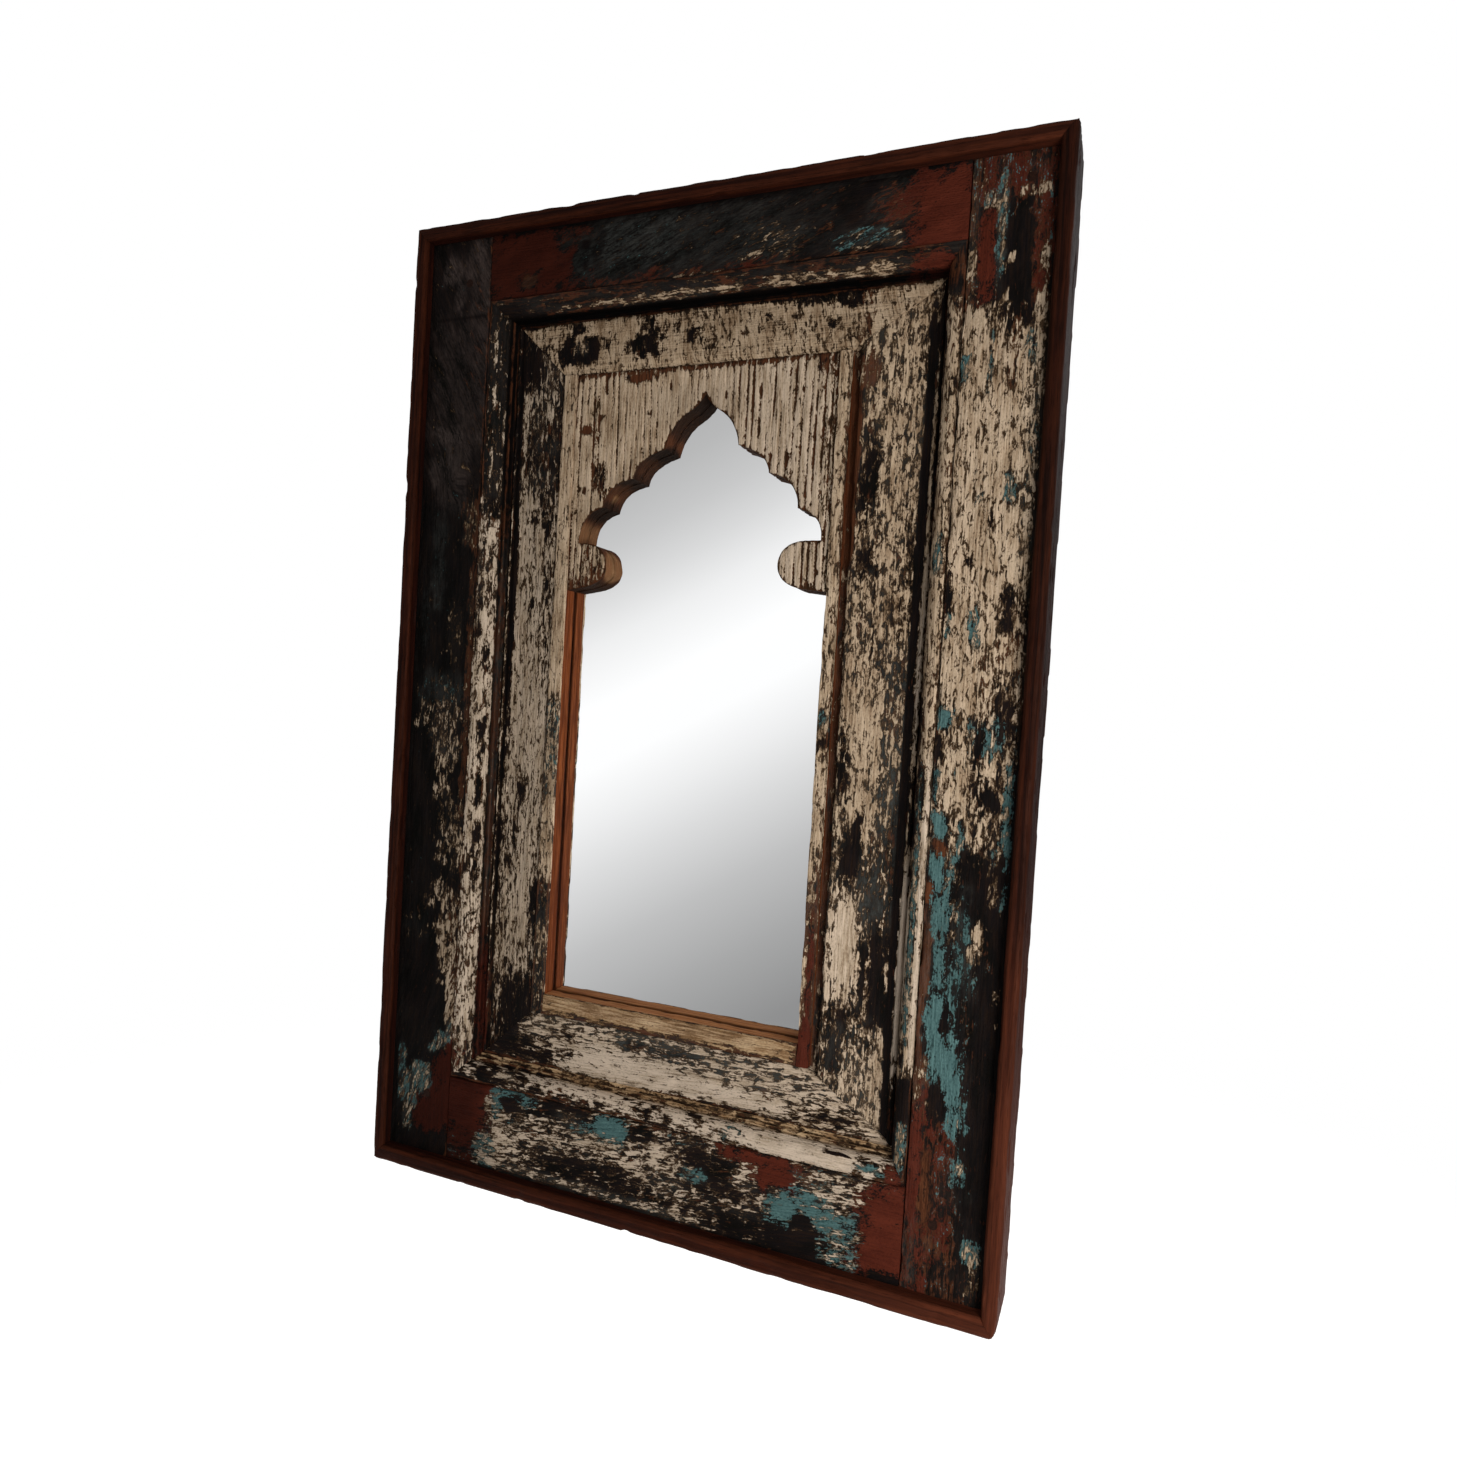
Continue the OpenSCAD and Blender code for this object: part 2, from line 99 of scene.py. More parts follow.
# ---------------------------------------------------------------------------
# The front is laid out on a chart 1000 wide and 1500 high, y down. A place on
# the chart is where a point at depth d is seen against the plane of the
# lipping's front from a little to the right, so patches that run over several
# members line up as they do on the object.
# ---------------------------------------------------------------------------


def chart(x, z, d):
    k = d / (541.6 + d)
    px = (x + HW) / 0.45 * 0.9938 - 1.5
    py = (FH - z) / 0.45 * 1.0007 - 1.1
    return px * (1 - k) + 1088.0 * k, py * (1 - k) + 736.7 * k


def patch_weight(cx, cy, x0, y0, x1, y1, seed, rough=0.8, soft=0.5, streak=1.0):
    """1 inside a box on the chart, 0 outside, with an uneven border."""
    mx, my = (x0 + x1) / 2, (y0 + y1) / 2
    rx, ry = max((x1 - x0) / 2, 1.0), max((y1 - y0) / 2, 1.0)
    q = ((np.abs((cx - mx) / rx)) ** 3 + (np.abs((cy - my) / ry)) ** 3) ** (1 / 3)
    n = fbm(cx / 13.0, cy / (17.0 * streak), seed, 4) - 0.5
    return 1 - smooth(1 - soft, 1 + soft, q + rough * n)


def paint_fields(cx, cy, plan, seed):
    """The coverage of each coat at each chart place, from a member's plan."""
    out = {}
    # dim is not a coat: it is painted shade, a darkening of the colour
    for field in ("cream", "teal", "oxide", "raw", "film", "age", "dim"):
        base = plan.get(field, 0.5 if field == "age" else 0.0)
        if callable(base):
            value = base(cx, cy)
        elif isinstance(base, (list, tuple)):
            value = np.interp(cy, [p[0] for p in base], [p[1] for p in base])
        else:
            value = np.full(cx.shape, float(base))
        out[field] = np.asarray(value, float).copy()
    for i, (x0, y0, x1, y1, coats, extra) in enumerate(plan.get("patches", ())):
        w = patch_weight(cx, cy, x0, y0, x1, y1, seed * 100 + i, **extra)
        for field, target in coats.items():
            out[field] = out[field] * (1 - w) + target * w
    for field in ("cream", "teal", "oxide", "raw"):
        share = np.clip(out[field], 0.004, 0.996)
        odds = np.log(share / (1 - share))
        out[field] = 0.5 + 0.066 * odds + 0.055 * np.minimum(odds + 1.3, 0) + 0.03 * np.maximum(odds - 1.9, 0)
    return {k: v.astype(np.float32) for k, v in out.items()}


# ---------------------------------------------------------------------------
# Meshes
# ---------------------------------------------------------------------------


def make_mesh(name, verts_mm, quads=None, polys=None, attrs=None, sharp=38, tris=None):
    """A closed mesh from millimetre points, with float attributes on its points."""
    mesh = bpy.data.meshes.new(name)
    co = np.asarray(verts_mm, np.float64) * 0.001
    loops = [] if quads is None else [np.asarray(quads, np.int32).ravel()]
    sizes = [] if quads is None else [np.full(len(quads), 4, np.int32)]
    if tris is not None:
        loops.append(np.asarray(tris, np.int32).ravel())
        sizes.append(np.full(len(tris), 3, np.int32))
    for p in polys or ():
        loops.append(np.asarray(p, np.int32))
        sizes.append(np.array([len(p)], np.int32))
    loops, sizes = np.concatenate(loops), np.concatenate(sizes)
    starts = np.concatenate([[0], np.cumsum(sizes)[:-1]]).astype(np.int32)
    mesh.vertices.add(len(co))
    mesh.vertices.foreach_set("co", co.astype(np.float32).ravel())
    mesh.loops.add(len(loops))
    mesh.loops.foreach_set("vertex_index", loops)
    mesh.polygons.add(len(sizes))
    mesh.polygons.foreach_set("loop_start", starts)
    mesh.update(calc_edges=True)
    mesh.validate()
    for key, value in (attrs or {}).items():
        value = np.asarray(value, np.float32)
        if value.ndim == 2:
            a = mesh.attributes.new(key, "FLOAT_VECTOR", "POINT")
            a.data.foreach_set("vector", value.ravel())
        else:
            a = mesh.attributes.new(key, "FLOAT", "POINT")
            a.data.foreach_set("value", value.ravel())
    mesh.shade_smooth()
    mesh.set_sharp_from_angle(angle=math.radians(sharp))
    obj = bpy.data.objects.new(name, mesh)
    scene.collection.objects.link(obj)
    return obj


def arc(cx, cy, r, a0, a1, n, rough=1.0):
    """Points on an arc in (w, d); the angle turns from +w towards -d (forward)."""
    return [
        (cx + r * math.cos(math.radians(a0 + (a1 - a0) * i / n)),
         cy - r * math.sin(math.radians(a0 + (a1 - a0) * i / n)), rough)
        for i in range(n + 1)
    ]


def resample(section, fine, coarse):
    """A closed (w, d, rough) loop with extra points: fine where it is worked, coarse where hidden."""
    out = []
    n = len(section)
    for i in range(n):
        a, b = np.array(section[i], float), np.array(section[(i + 1) % n], float)
        length = math.hypot(*(b - a)[:2])
        if length < 1e-6:
            continue
        step = fine if max(a[2], b[2]) > 0 else coarse
        k = max(1, int(math.ceil(length / step - 0.3)))
        for j in range(k):
            out.append(a + (b - a) * j / k)
    return np.array(out)


def loop_frame(section):
    """Outward normals, distance along the loop and how convex each point is."""
    p = section[:, :2]
    prev, nxt = np.roll(p, 1, 0), np.roll(p, -1, 0)
    e0, e1 = p - prev, nxt - p
    l0, l1 = np.hypot(*e0.T), np.hypot(*e1.T)
    t = e0 / l0[:, None] + e1 / l1[:, None]
    t /= np.maximum(np.hypot(*t.T), 1e-6)[:, None]
    normal = np.stack([t[:, 1], -t[:, 0]], 1)  # the loop runs so that this points out
    area = 0.5 * np.sum(p[:, 0] * nxt[:, 1] - nxt[:, 0] * p[:, 1])
    if area < 0:
        normal = -normal
    turn = (e0[:, 0] * e1[:, 1] - e0[:, 1] * e1[:, 0]) / (l0 * l1)
    turn = np.arcsin(np.clip(turn, -1, 1)) * (1 if area > 0 else -1)
    dist = np.concatenate([[0], np.cumsum(l1)[:-1]])
    return normal, dist, turn, area


def edge_share(dist, turn, total, reach=2.2):
    """How near each loop point is to a convex corner, 0 to 1."""
    share = np.zeros(len(dist))
    for i in np.nonzero(turn > 0.12)[0]:
        away = np.abs(dist - dist[i])
        away = np.minimum(away, total - away)
        share = np.maximum(share, np.exp(-(away / reach) ** 2) * min(1, turn[i] * 1.6))
    return share


def hollow_share(dist, turn, total, w, width, ends, reach=1.5, dirt=1.0):
    """How near each loop point is to a concave corner or to the joint at either end, where the colour is darkened:
    painted shade, with some dirt. The last argument scales the corners.
    """
    share = np.zeros(len(dist))
    for i in np.nonzero(turn < -0.2)[0]:
        away = np.abs(dist - dist[i])
        away = np.minimum(away, total - away)
        share = np.maximum(share, np.exp(-(away / reach) ** 2) * min(1, -turn[i] * 1.3) * dirt)
    share = np.maximum(share, ends[0] * np.exp(-(w / reach) ** 2))
    return np.maximum(share, ends[1] * np.exp(-((width - w) / reach) ** 2))


PIECES = {}


def sweep(name, side, outer, inner, width, section, relief, plan, seed,
          fine=0.9, coarse=6.0, along=2.0, gap=0.12, after=None, warp=None, sharp=38, part=None,
          ends=(0.0, 0.0), turn_by=0.0, flow=None, dirt=1.0):
    """A member of the frame: its section run along one side, cut at its mitres.

    outer and inner are (left, right, bottom, top) outlines that the mitres join.
    section is a closed (w, d, rough) loop, w counted inward from the outer line.
    relief gives the wood lost, in mm, at (along, around, w, d, x, z, edge share).
    """
    sec = resample(section, fine, coarse)
    normal, dist, turn, area = loop_frame(sec)
    total = dist[-1] + np.hypot(*(sec[0] - sec[-1])[:2])
    share = edge_share(dist, turn, total)
    # painted shade with some dirt: concave corners and the member's ends are marked to be darkened
    hollow = hollow_share(dist, turn, total, sec[:, 0], width, ends, dirt=dirt)
    xl, xr, zb, zt = outer
    il, ir, ib, it = inner
    if side in "lr":
        lo0, lo1, hi0, hi1 = zb, ib, zt, it
    else:
        lo0, lo1, hi0, hi1 = xl, il, xr, ir
    lo0, lo1, hi0, hi1 = lo0 + gap, lo1 + gap, hi0 - gap, hi1 - gap
    m = max(8, int(round((hi0 - lo0) / along))) + 1
    t = np.linspace(0, 1, m)[:, None]
    w, d, rough = sec[None, :, 0], sec[None, :, 1], sec[None, :, 2]

    def place(w, d):
        f = np.clip(w / width, 0, 1)
        lo, hi = lo0 + (lo1 - lo0) * f, hi0 + (hi1 - hi0) * f
        run = lo + (hi - lo) * t
        if side == "l":
            return xl + w + 0 * run, run
        if side == "r":
            return xr - w + 0 * run, run
        if side == "t":
            return run, zt - w + 0 * run
        return run, zb + w + 0 * run

    x, z = place(w + 0 * t, d)
    u = (z if side in "lr" else x) + 0.0
    v = dist[None, :] + 0 * t
    if warp:
        u, v = warp(u, v, x, z)
    lost = relief(u, v, w + 0 * t, d + 0 * t, x, z, share[None, :] + 0 * t, seed)
    lost = np.clip(lost, 0, None) * rough
    w2, d2 = w - normal[None, :, 0] * lost, d - normal[None, :, 1] * lost
    x, z = place(w2, d2)
    if after:
        x, z = after(x, z)
    n = len(sec)
    co = np.stack([x, d2 - DEPTH + 0 * x, z], -1).reshape(-1, 3)
    ring = np.arange(n)
    base = (np.arange(m - 1) * n)[:, None]
    a, b = base + ring, base + (ring + 1) % n
    quads = np.stack([a, b, b + n, a + n], -1).reshape(-1, 4)
    first, last = ring.copy(), ring + (m - 1) * n
    turn_over = (area > 0) != (side in "lb")  # keeps every face looking out
    if turn_over:
        quads = quads[:, ::-1]
        polys = [first, last[::-1]]
    else:
        polys = [first[::-1], last]
    cx, cy = chart(x, z, d2)
    fields = paint_fields(cx.ravel(), cy.ravel(), plan, seed)
    grain = np.stack([u + 311.0 * seed, v + 71.0 * seed, 0 * v + 13.0 * seed], -1).reshape(-1, 3)
    fu, fv = flow(u, v) if flow else (u, v)
    ct, st = math.cos(math.radians(turn_by)), math.sin(math.radians(turn_by))
    lie = np.stack([fu * ct + fv * st + 97.0 * seed, fv * ct - fu * st + 53.0 * seed, 0 * v + 29.0 * seed], -1).reshape(-1, 3)
    attrs = {"grain": grain, "lie": lie, "edge": (share[None, :] * rough + 0 * t).ravel(),
             "hollow": (hollow[None, :] + 0 * t).ravel(), "lost": lost.ravel(), **fields}
    obj = make_mesh(name, co, quads, polys, attrs, sharp)
    if part:
        mid = (sec + np.roll(sec, -1, 0)) / 2
        index = np.array([part(a, b) for a, b in mid[:, :2]], np.int32)
        index = np.concatenate([np.tile(index, m - 1), np.zeros(2, np.int32)])
        obj.data.polygons.foreach_set("material_index", index)
    PIECES[name] = obj
    return obj


# ---- arch -----------------------------------------------------------------
ARCH_H, ARCH_LEAN = 126.0, 3.6
ARCH_Z = SZ_T - 18.6 - ARCH_H


def half_arch(c3, lobe, nose):
    return [
        ((0.000, 1.000), (0.035, 0.948), (0.110, 0.915)), ((0.110, 0.915), (0.248, 0.862), (0.280, 0.730)),
        ((0.280, 0.730), (0.505, 0.688), (0.520, 0.585)), ((0.520, 0.585), (0.738, 0.556), (0.748, c3)),
        ((0.748, c3), (0.938, c3 - 0.032), (0.932, 0.250)),
        ((lobe + 0.18, 0.250), (lobe + 0.01, 0.242), (lobe, nose)),
        ((lobe, nose), (lobe, 0.046), (lobe + 0.16, 0.018)),
    ]


def arch_half(rows, s, steps=12):
    pts = []
    for a, b, c in rows:
        for i in range(steps + 1):
            t = i / steps
            fx = (1 - t) ** 2 * a[0] + 2 * t * (1 - t) * b[0] + t * t * c[0]
            fz = (1 - t) ** 2 * a[1] + 2 * t * (1 - t) * b[1] + t * t * c[1]
            pts.append((OX_M + s * fx * O_HW + ARCH_LEAN * fz, ARCH_Z + fz * ARCH_H))
    return pts


def even(points, step):
    """A closed outline with points no further apart than step; its corners stay."""
    out = []
    for i, a in enumerate(points):
        b = points[(i + 1) % len(points)]
        length = math.hypot(b[0] - a[0], b[1] - a[1])
        if length < 1e-4:
            continue
        k = max(1, int(math.ceil(length / step)))
        out += [(a[0] + (b[0] - a[0]) * j / k, a[1] + (b[1] - a[1]) * j / k) for j in range(k)]
    thin = [out[0]]
    for q in out[1:]:
        if math.hypot(q[0] - thin[-1][0], q[1] - thin[-1][1]) > 0.3:
            thin.append(q)
    return np.array(thin)


ARCH_OUTLINE = even(
    [(OX_L, SZ_T), (OX_L, ARCH_Z)] + arch_half(half_arch(.440, .685, .120), -1)[::-1]
    + arch_half(half_arch(.408, .640, .140), 1)[1:] + [(OX_R, ARCH_Z), (OX_R, SZ_T)], 1.1)


def inside(px, pz, outline):
    hit = np.zeros(px.shape, bool)
    n = len(outline)
    for i in range(n):
        x0, z0 = outline[i]
        x1, z1 = outline[(i + 1) % n]
        if z0 == z1:
            continue
        cross = ((z0 > pz) != (z1 > pz)) & (px < (x1 - x0) * (pz - z0) / (z1 - z0) + x0)
        hit ^= cross
    return hit


def from_outline(px, pz, outline):
    """Distance of each place to the outline."""
    a, b = outline, np.roll(outline, -1, 0)
    best = np.full(px.shape, 1e9)
    for (ax, az), (bx, bz) in zip(a, b):
        ex, ez = bx - ax, bz - az
        t = np.clip(((px - ax) * ex + (pz - az) * ez) / max(ex * ex + ez * ez, 1e-9), 0, 1)
        best = np.minimum(best, np.hypot(px - ax - ex * t, pz - az - ez * t))
    return best


def sawn_board(name, outline, d0, d1, face_relief, wall_relief, plan, seed, dx, dz, set_back=0.0, open_edge=None,
               under=0.0):
    """A board cut to an outline: its worked face, its sawn edge and its flat back.

    open_edge(x, z) says where the edge shows; the rest is hidden against its neighbours.
    """
    n = len(outline)
    e0, e1 = outline - np.roll(outline, 1, 0), np.roll(outline, -1, 0) - outline
    t = e0 / np.hypot(*e0.T)[:, None] + e1 / np.hypot(*e1.T)[:, None]
    t /= np.maximum(np.hypot(*t.T), 1e-6)[:, None]
    out = np.stack([t[:, 1], -t[:, 0]], 1)
    area = 0.5 * np.sum(outline[:, 0] * np.roll(outline[:, 1], -1) - np.roll(outline[:, 0], -1) * outline[:, 1])
    if area < 0:
        out = -out
    shows = open_edge(outline[:, 0], outline[:, 1]).astype(float)
    run = np.concatenate([[0], np.cumsum(np.hypot(*e1.T))[:-1]])
    line = outline - out * (set_back * shows)[:, None]
    # down marks edge walls that face down; below they are darkened as painted shade
    down = smooth(0.05, 0.9, -out[:, 1]) * shows
    # the face
    gx = np.arange(outline[:, 0].min() + dx, outline[:, 0].max(), dx)
    gz = np.arange(outline[:, 1].min() + dz / 2, outline[:, 1].max(), dz)
    mx, mz = np.meshgrid(gx, gz, indexing="ij")
    mx = mx + (lattice(np.arange(mx.size).reshape(mx.shape), np.zeros(mx.shape), seed) - 0.5) * dx * 0.15
    mz = mz + (np.arange(len(gx))[:, None] % 2) * dz * 0.5
    mx, mz = mx.ravel(), mz.ravel()
    keep = inside(mx, mz, line)
    mx, mz = mx[keep], mz[keep]
    keep = from_outline(mx, mz, line) > 0.85
    mx, mz = mx[keep], mz[keep]
    flat = [Vector(p) for p in np.concatenate([line, np.stack([mx, mz], 1)])]
    edges = [(i, (i + 1) % n) for i in range(n)]
    face = delaunay_2d_cdt(flat, [], [list(range(n))], 1, 1e-5)
    pts = np.array([tuple(p) for p in face[0]])
    tris = np.array(face[2], np.int64)
    origin = np.array([o[0] if o else -1 for o in face[3]])
    front_of = np.full(n, -1)
    for new, old in enumerate(origin):
        if 0 <= old < n:
            front_of[old] = new
    fx, fz = pts[:, 0], pts[:, 1]
    rim = from_outline(fx, fz, line)
    lost = np.clip(face_relief(fx, fz, rim, seed), 0, 2.4)
    is_rim = np.zeros(len(pts), bool)
    is_rim[front_of] = True
    rim_shows = np.zeros(len(pts))
    rim_shows[front_of] = shows
    lost = np.where(is_rim, lost * 0.6 + 0.55 * rim_shows, lost)
    fy = d0 + lost
    # the edge, row by row towards the back
    deep = d1 - d0
    rows_d = [r for r in (0.55, 1.3, 2.6, 4.2, 5.8, 7.4, 9.0, 10.0) if r < deep - 2.0] + [deep - 1.8, deep - 1.45, deep]
    co = [np.stack([fx, fy - DEPTH, fz], 1)]
    base = len(pts)
    quads, last = [], front_of
    att_u, att_v, att_lost, att_edge, att_d = [fz], [fx], [lost], [smooth(3.2, 0.2, rim)], [fy]
    # painted shade along the top and sides of the face, where the panel meets the rail and the slips
    top_gap = np.minimum(outline[:, 1].max() - fz, np.minimum(fx - outline[:, 0].min(), outline[:, 0].max() - fx))
    side_share = np.where(fx < outline[:, 0].min() + 9, 0.25, np.where(fx > outline[:, 0].max() - 9, 0.75, 1.0))
    side_share = np.where(outline[:, 1].max() - fz <= top_gap + 1e-6, 0.8, side_share)
    att_hollow = [side_share * np.exp(-(np.clip(top_gap, 0, 9) / 1.4) ** 2)]
    for k, r in enumerate(rows_d):
        depth = d0 + lost[front_of] * max(0.0, 1 - r / 3.0) + r
        depth = np.minimum(depth, d1)
        back = wall_relief(run, depth, seed) * shows
        if k == 0:
            back = back * 0.3
        if r >= deep - 1.5:
            back = back + under * shows
        if r == deep:
            depth = np.full(n, d1)
        p = line - out * back[:, None]
        co.append(np.stack([p[:, 0], depth - DEPTH, p[:, 1]], 1))
        ids = base + np.arange(n)
        nxt = np.roll(np.arange(n), -1)
        a, b = last, last[nxt]
        q = np.stack([a, b, ids[nxt], ids], 1)
        quads.append(q if area > 0 else q[:, ::-1])
        last = ids
        base += n
        att_u.append(p[:, 1] * 1.0 + 0 * depth)
        att_v.append(p[:, 0] * 0.6 + depth * 1.7)
        att_lost.append(back)
        att_edge.append(np.full(n, 0.4 if k == 0 else 0.0))
        # painted shade near the back of the edge and on walls that face down
        att_hollow.append(np.maximum(0.4 if r >= deep - 1.5 else 0.0, 0.72 * down))
        att_d.append(depth)
    co = np.concatenate(co)
    quads = np.concatenate(quads)
    rear = delaunay_2d_cdt([Vector(p) for p in line], [], [list(range(n))], 1, 1e-5)
    rear_of = np.array([o[0] for o in rear[3]])
    rear_tris = last[rear_of[np.array(rear[2], np.int64)]]
    # faces look out: the face towards -Y, the back towards +Y

    def turned(t, xz, forward):
        ax, az = (xz[t[:, 1]] - xz[t[:, 0]]).T
        bx, bz = (xz[t[:, 2]] - xz[t[:, 0]]).T
        ccw = ax * bz - az * bx > 0  # seen from -Y with x right and z up
        flip = ~ccw if forward else ccw
        t = t.copy()
        t[flip] = t[flip][:, ::-1]
        return t

    xz = co[:, [0, 2]]
    tris = turned(tris, xz, True)
    rear_tris = turned(rear_tris, xz, False)
    faces_tri = np.concatenate([tris, rear_tris])
    u, v = np.concatenate(att_u), np.concatenate(att_v)
    dd = np.concatenate(att_d)
    cx, cy = chart(co[:, 0], co[:, 2], dd)
    fields = paint_fields(cx, cy, plan, seed)
    grain = np.stack([u + 311.0 * seed, v + 71.0 * seed, np.full(len(u), 13.0 * seed)], -1)
    mesh_quads = quads
    obj = make_mesh(name, co, mesh_quads, None,
                    {"grain": grain, "lie": grain, "edge": np.concatenate(att_edge), "lost": np.concatenate(att_lost),
                     "hollow": np.concatenate(att_hollow), **fields},
                    sharp=50, tris=faces_tri)
    index = np.concatenate([np.ones(len(quads), np.int32), np.zeros(len(tris), np.int32),
                            np.ones(len(rear_tris), np.int32)])
    obj.data.polygons.foreach_set("material_index", index)
    PIECES[name] = obj
    return obj


# ---- how wood wears -------------------------------------------------------


def worn(grain=0.3, sway=0.35, dents=0.8, edge=1.1):
    """Relief of an old painted board: open grain, low waves, dents, bruised edges."""

    def relief(u, v, w, d, x, z, share, seed):
        g = fbm(u / 38.0, v / 2.1, seed * 7 + 1, 3)
        open_grain = grain * smooth(0.52, 0.9, g)
        low = sway * fbm(u / 90.0, v / 26.0, seed * 7 + 2, 2)
        hit = vnoise(u / 10.0, v / 6.5, seed * 7 + 3)
        pit = dents * smooth(0.83, 0.98, hit)
        chip = fbm(u / 13.0, v / 9.0, seed * 7 + 4, 3)
        bruise = edge * share * (0.25 + 1.4 * smooth(0.45, 0.85, chip))
        return open_grain + low + pit + bruise

    return relief


# ---- sections -------------------------------------------------------------


def board_section(width, inner_round=0.9):
    """Flat board: hidden under the lipping at w 0, its inner edge eased."""
    r = inner_round
    return (
        [(0, D_BOARD, 0.0), (2.0, D_BOARD, 1.0)]
        + [(width - r, D_BOARD, 1.0)]
        + arc(width - r, D_BOARD + r, r, 90, 0, 3)[1:]
        + [(width, D_BOARD + 3.0, 0.6), (width, D_BOARD + 5, 0.0), (width, D_JOINT, 0.0), (0, D_JOINT, 0.0)]
    )


def bead_section(width):
    """Quirk at the board and quarter-round, then a step and a groove where there is room."""
    pts = [(0, D_BOARD + 0.8, 0.3), (0.4, D_BOARD + 0.6, 1.0), (1.8, D_BOARD + 0.6, 1.0)]
    pts += arc(1.8, D_BOARD + 10.2, 9.6, 90, 4, 10)[1:]
    if width > 15:
        pts += [(11.4, 20.0, 1.0), (width - 3.0, 20.0, 1.0), (width - 2.6, 20.4, 1.0)]
    if width > 12:
        pts += [(width - 2.6, 22.4, 0.8), (width - 0.2, 22.4, 0.8)]
    return pts + [(width, 22.6, 0.0), (width, D_JOINT, 0.0), (0, D_JOINT, 0.0)]


def rise(t):
    return 0.65 * t + 0.35 * (3 * t * t - 2 * t * t * t)


def inner_section(width, side):
    """The rising face; the fine bead runs up the sides only, and only the right has a quirk."""
    w0, r, nose, quirk = {"l": (6.4, 1.6, 45.4, 0), "r": (8.8, 1.9, 41.4, 16.4)}.get(side, (1.2, 0, 45.4, 0))
    pts = [(0, LOW_D, 0.0), (0.3, LOW_D, 1.0)]
    if r:
        pts += [(0.6 + r + r * math.cos(math.radians(a)), LOW_D - 0.3 - 0.9 * r * math.sin(math.radians(a)), 1.0)
                for a in range(170, -1, -20)] + [(0.8 + 2 * r, LOW_D, 1.0)]
    pts += [(w0 + (nose - w0) * i / 16, LOW_D - (LOW_D - NOSE_D) * rise(i / 16), 1.0) for i in range(0, 16)]
    pts += [(nose + 2 * math.cos(math.radians(a)), NOSE_D + 2 - 2 * math.sin(math.radians(a)), 1.0)
            for a in range(110, 10, -19)]
    if quirk:
        pts += [(43.4, quirk, 1.0), (47.2, quirk, 1.0), (47.4, quirk + 0.2, 0.0)]
    else:
        pts += [(47.4, NOSE_D + 2, 0.6), (47.4, NOSE_D + 4, 0.0)]
    pts += [(47.4, D_JOINT, 0.0), (0, D_JOINT, 0.0)]
    return [(w * width / 47.4, d, r) for w, d, r in pts]


def slip_section(width):
    return (
        [(0, D_SLIP + 4, 0.0), (0, D_SLIP + 0.7, 0.7)] + arc(0.7, D_SLIP + 0.7, 0.7, 180, 90, 2)[1:]
        + [(width - 0.6, D_SLIP, 1.0)] + arc(width - 0.6, D_SLIP + 0.6, 0.6, 90, 0, 2)[1:]
        + [(width, D_SLIP + 2.1, 1.0), (width, D_SLIP + 2.5, 1.0), (width, D_GLASS - 1.9, 1.0), (width - 1.6, D_GLASS - 1.4, 0.3), (width - 1.6, D_GLASS - 0.05, 0.0),
           (0, D_GLASS - 0.05, 0.0)]
    )


def strip_section(t):
    r = 3.6
    return (
        [(0, DEPTH - 0.8, 1.0), (0, r, 1.0)] + arc(r, r, r, 180, 90, 7)[1:]
        + arc(t - r, r, r, 90, 0, 7)
        + [(t, D_BOARD - 0.6, 1.0), (t, D_BOARD + 1.5, 0.0), (t, D_BACK, 0.0), (t, DEPTH - 0.8, 1.0),
           (t - 0.8, DEPTH, 0.8), (0.8, DEPTH, 0.8)]
    )


# ---------------------------------------------------------------------------
# Materials
# ---------------------------------------------------------------------------


def lin(r, g, b):
    """An 8-bit display colour as scene light."""
    return tuple(((c / 255) / 12.92 if c / 255 <= 0.04045 else ((c / 255 + 0.055) / 1.055) ** 2.4) for c in (r, g, b)) + (1.0,)


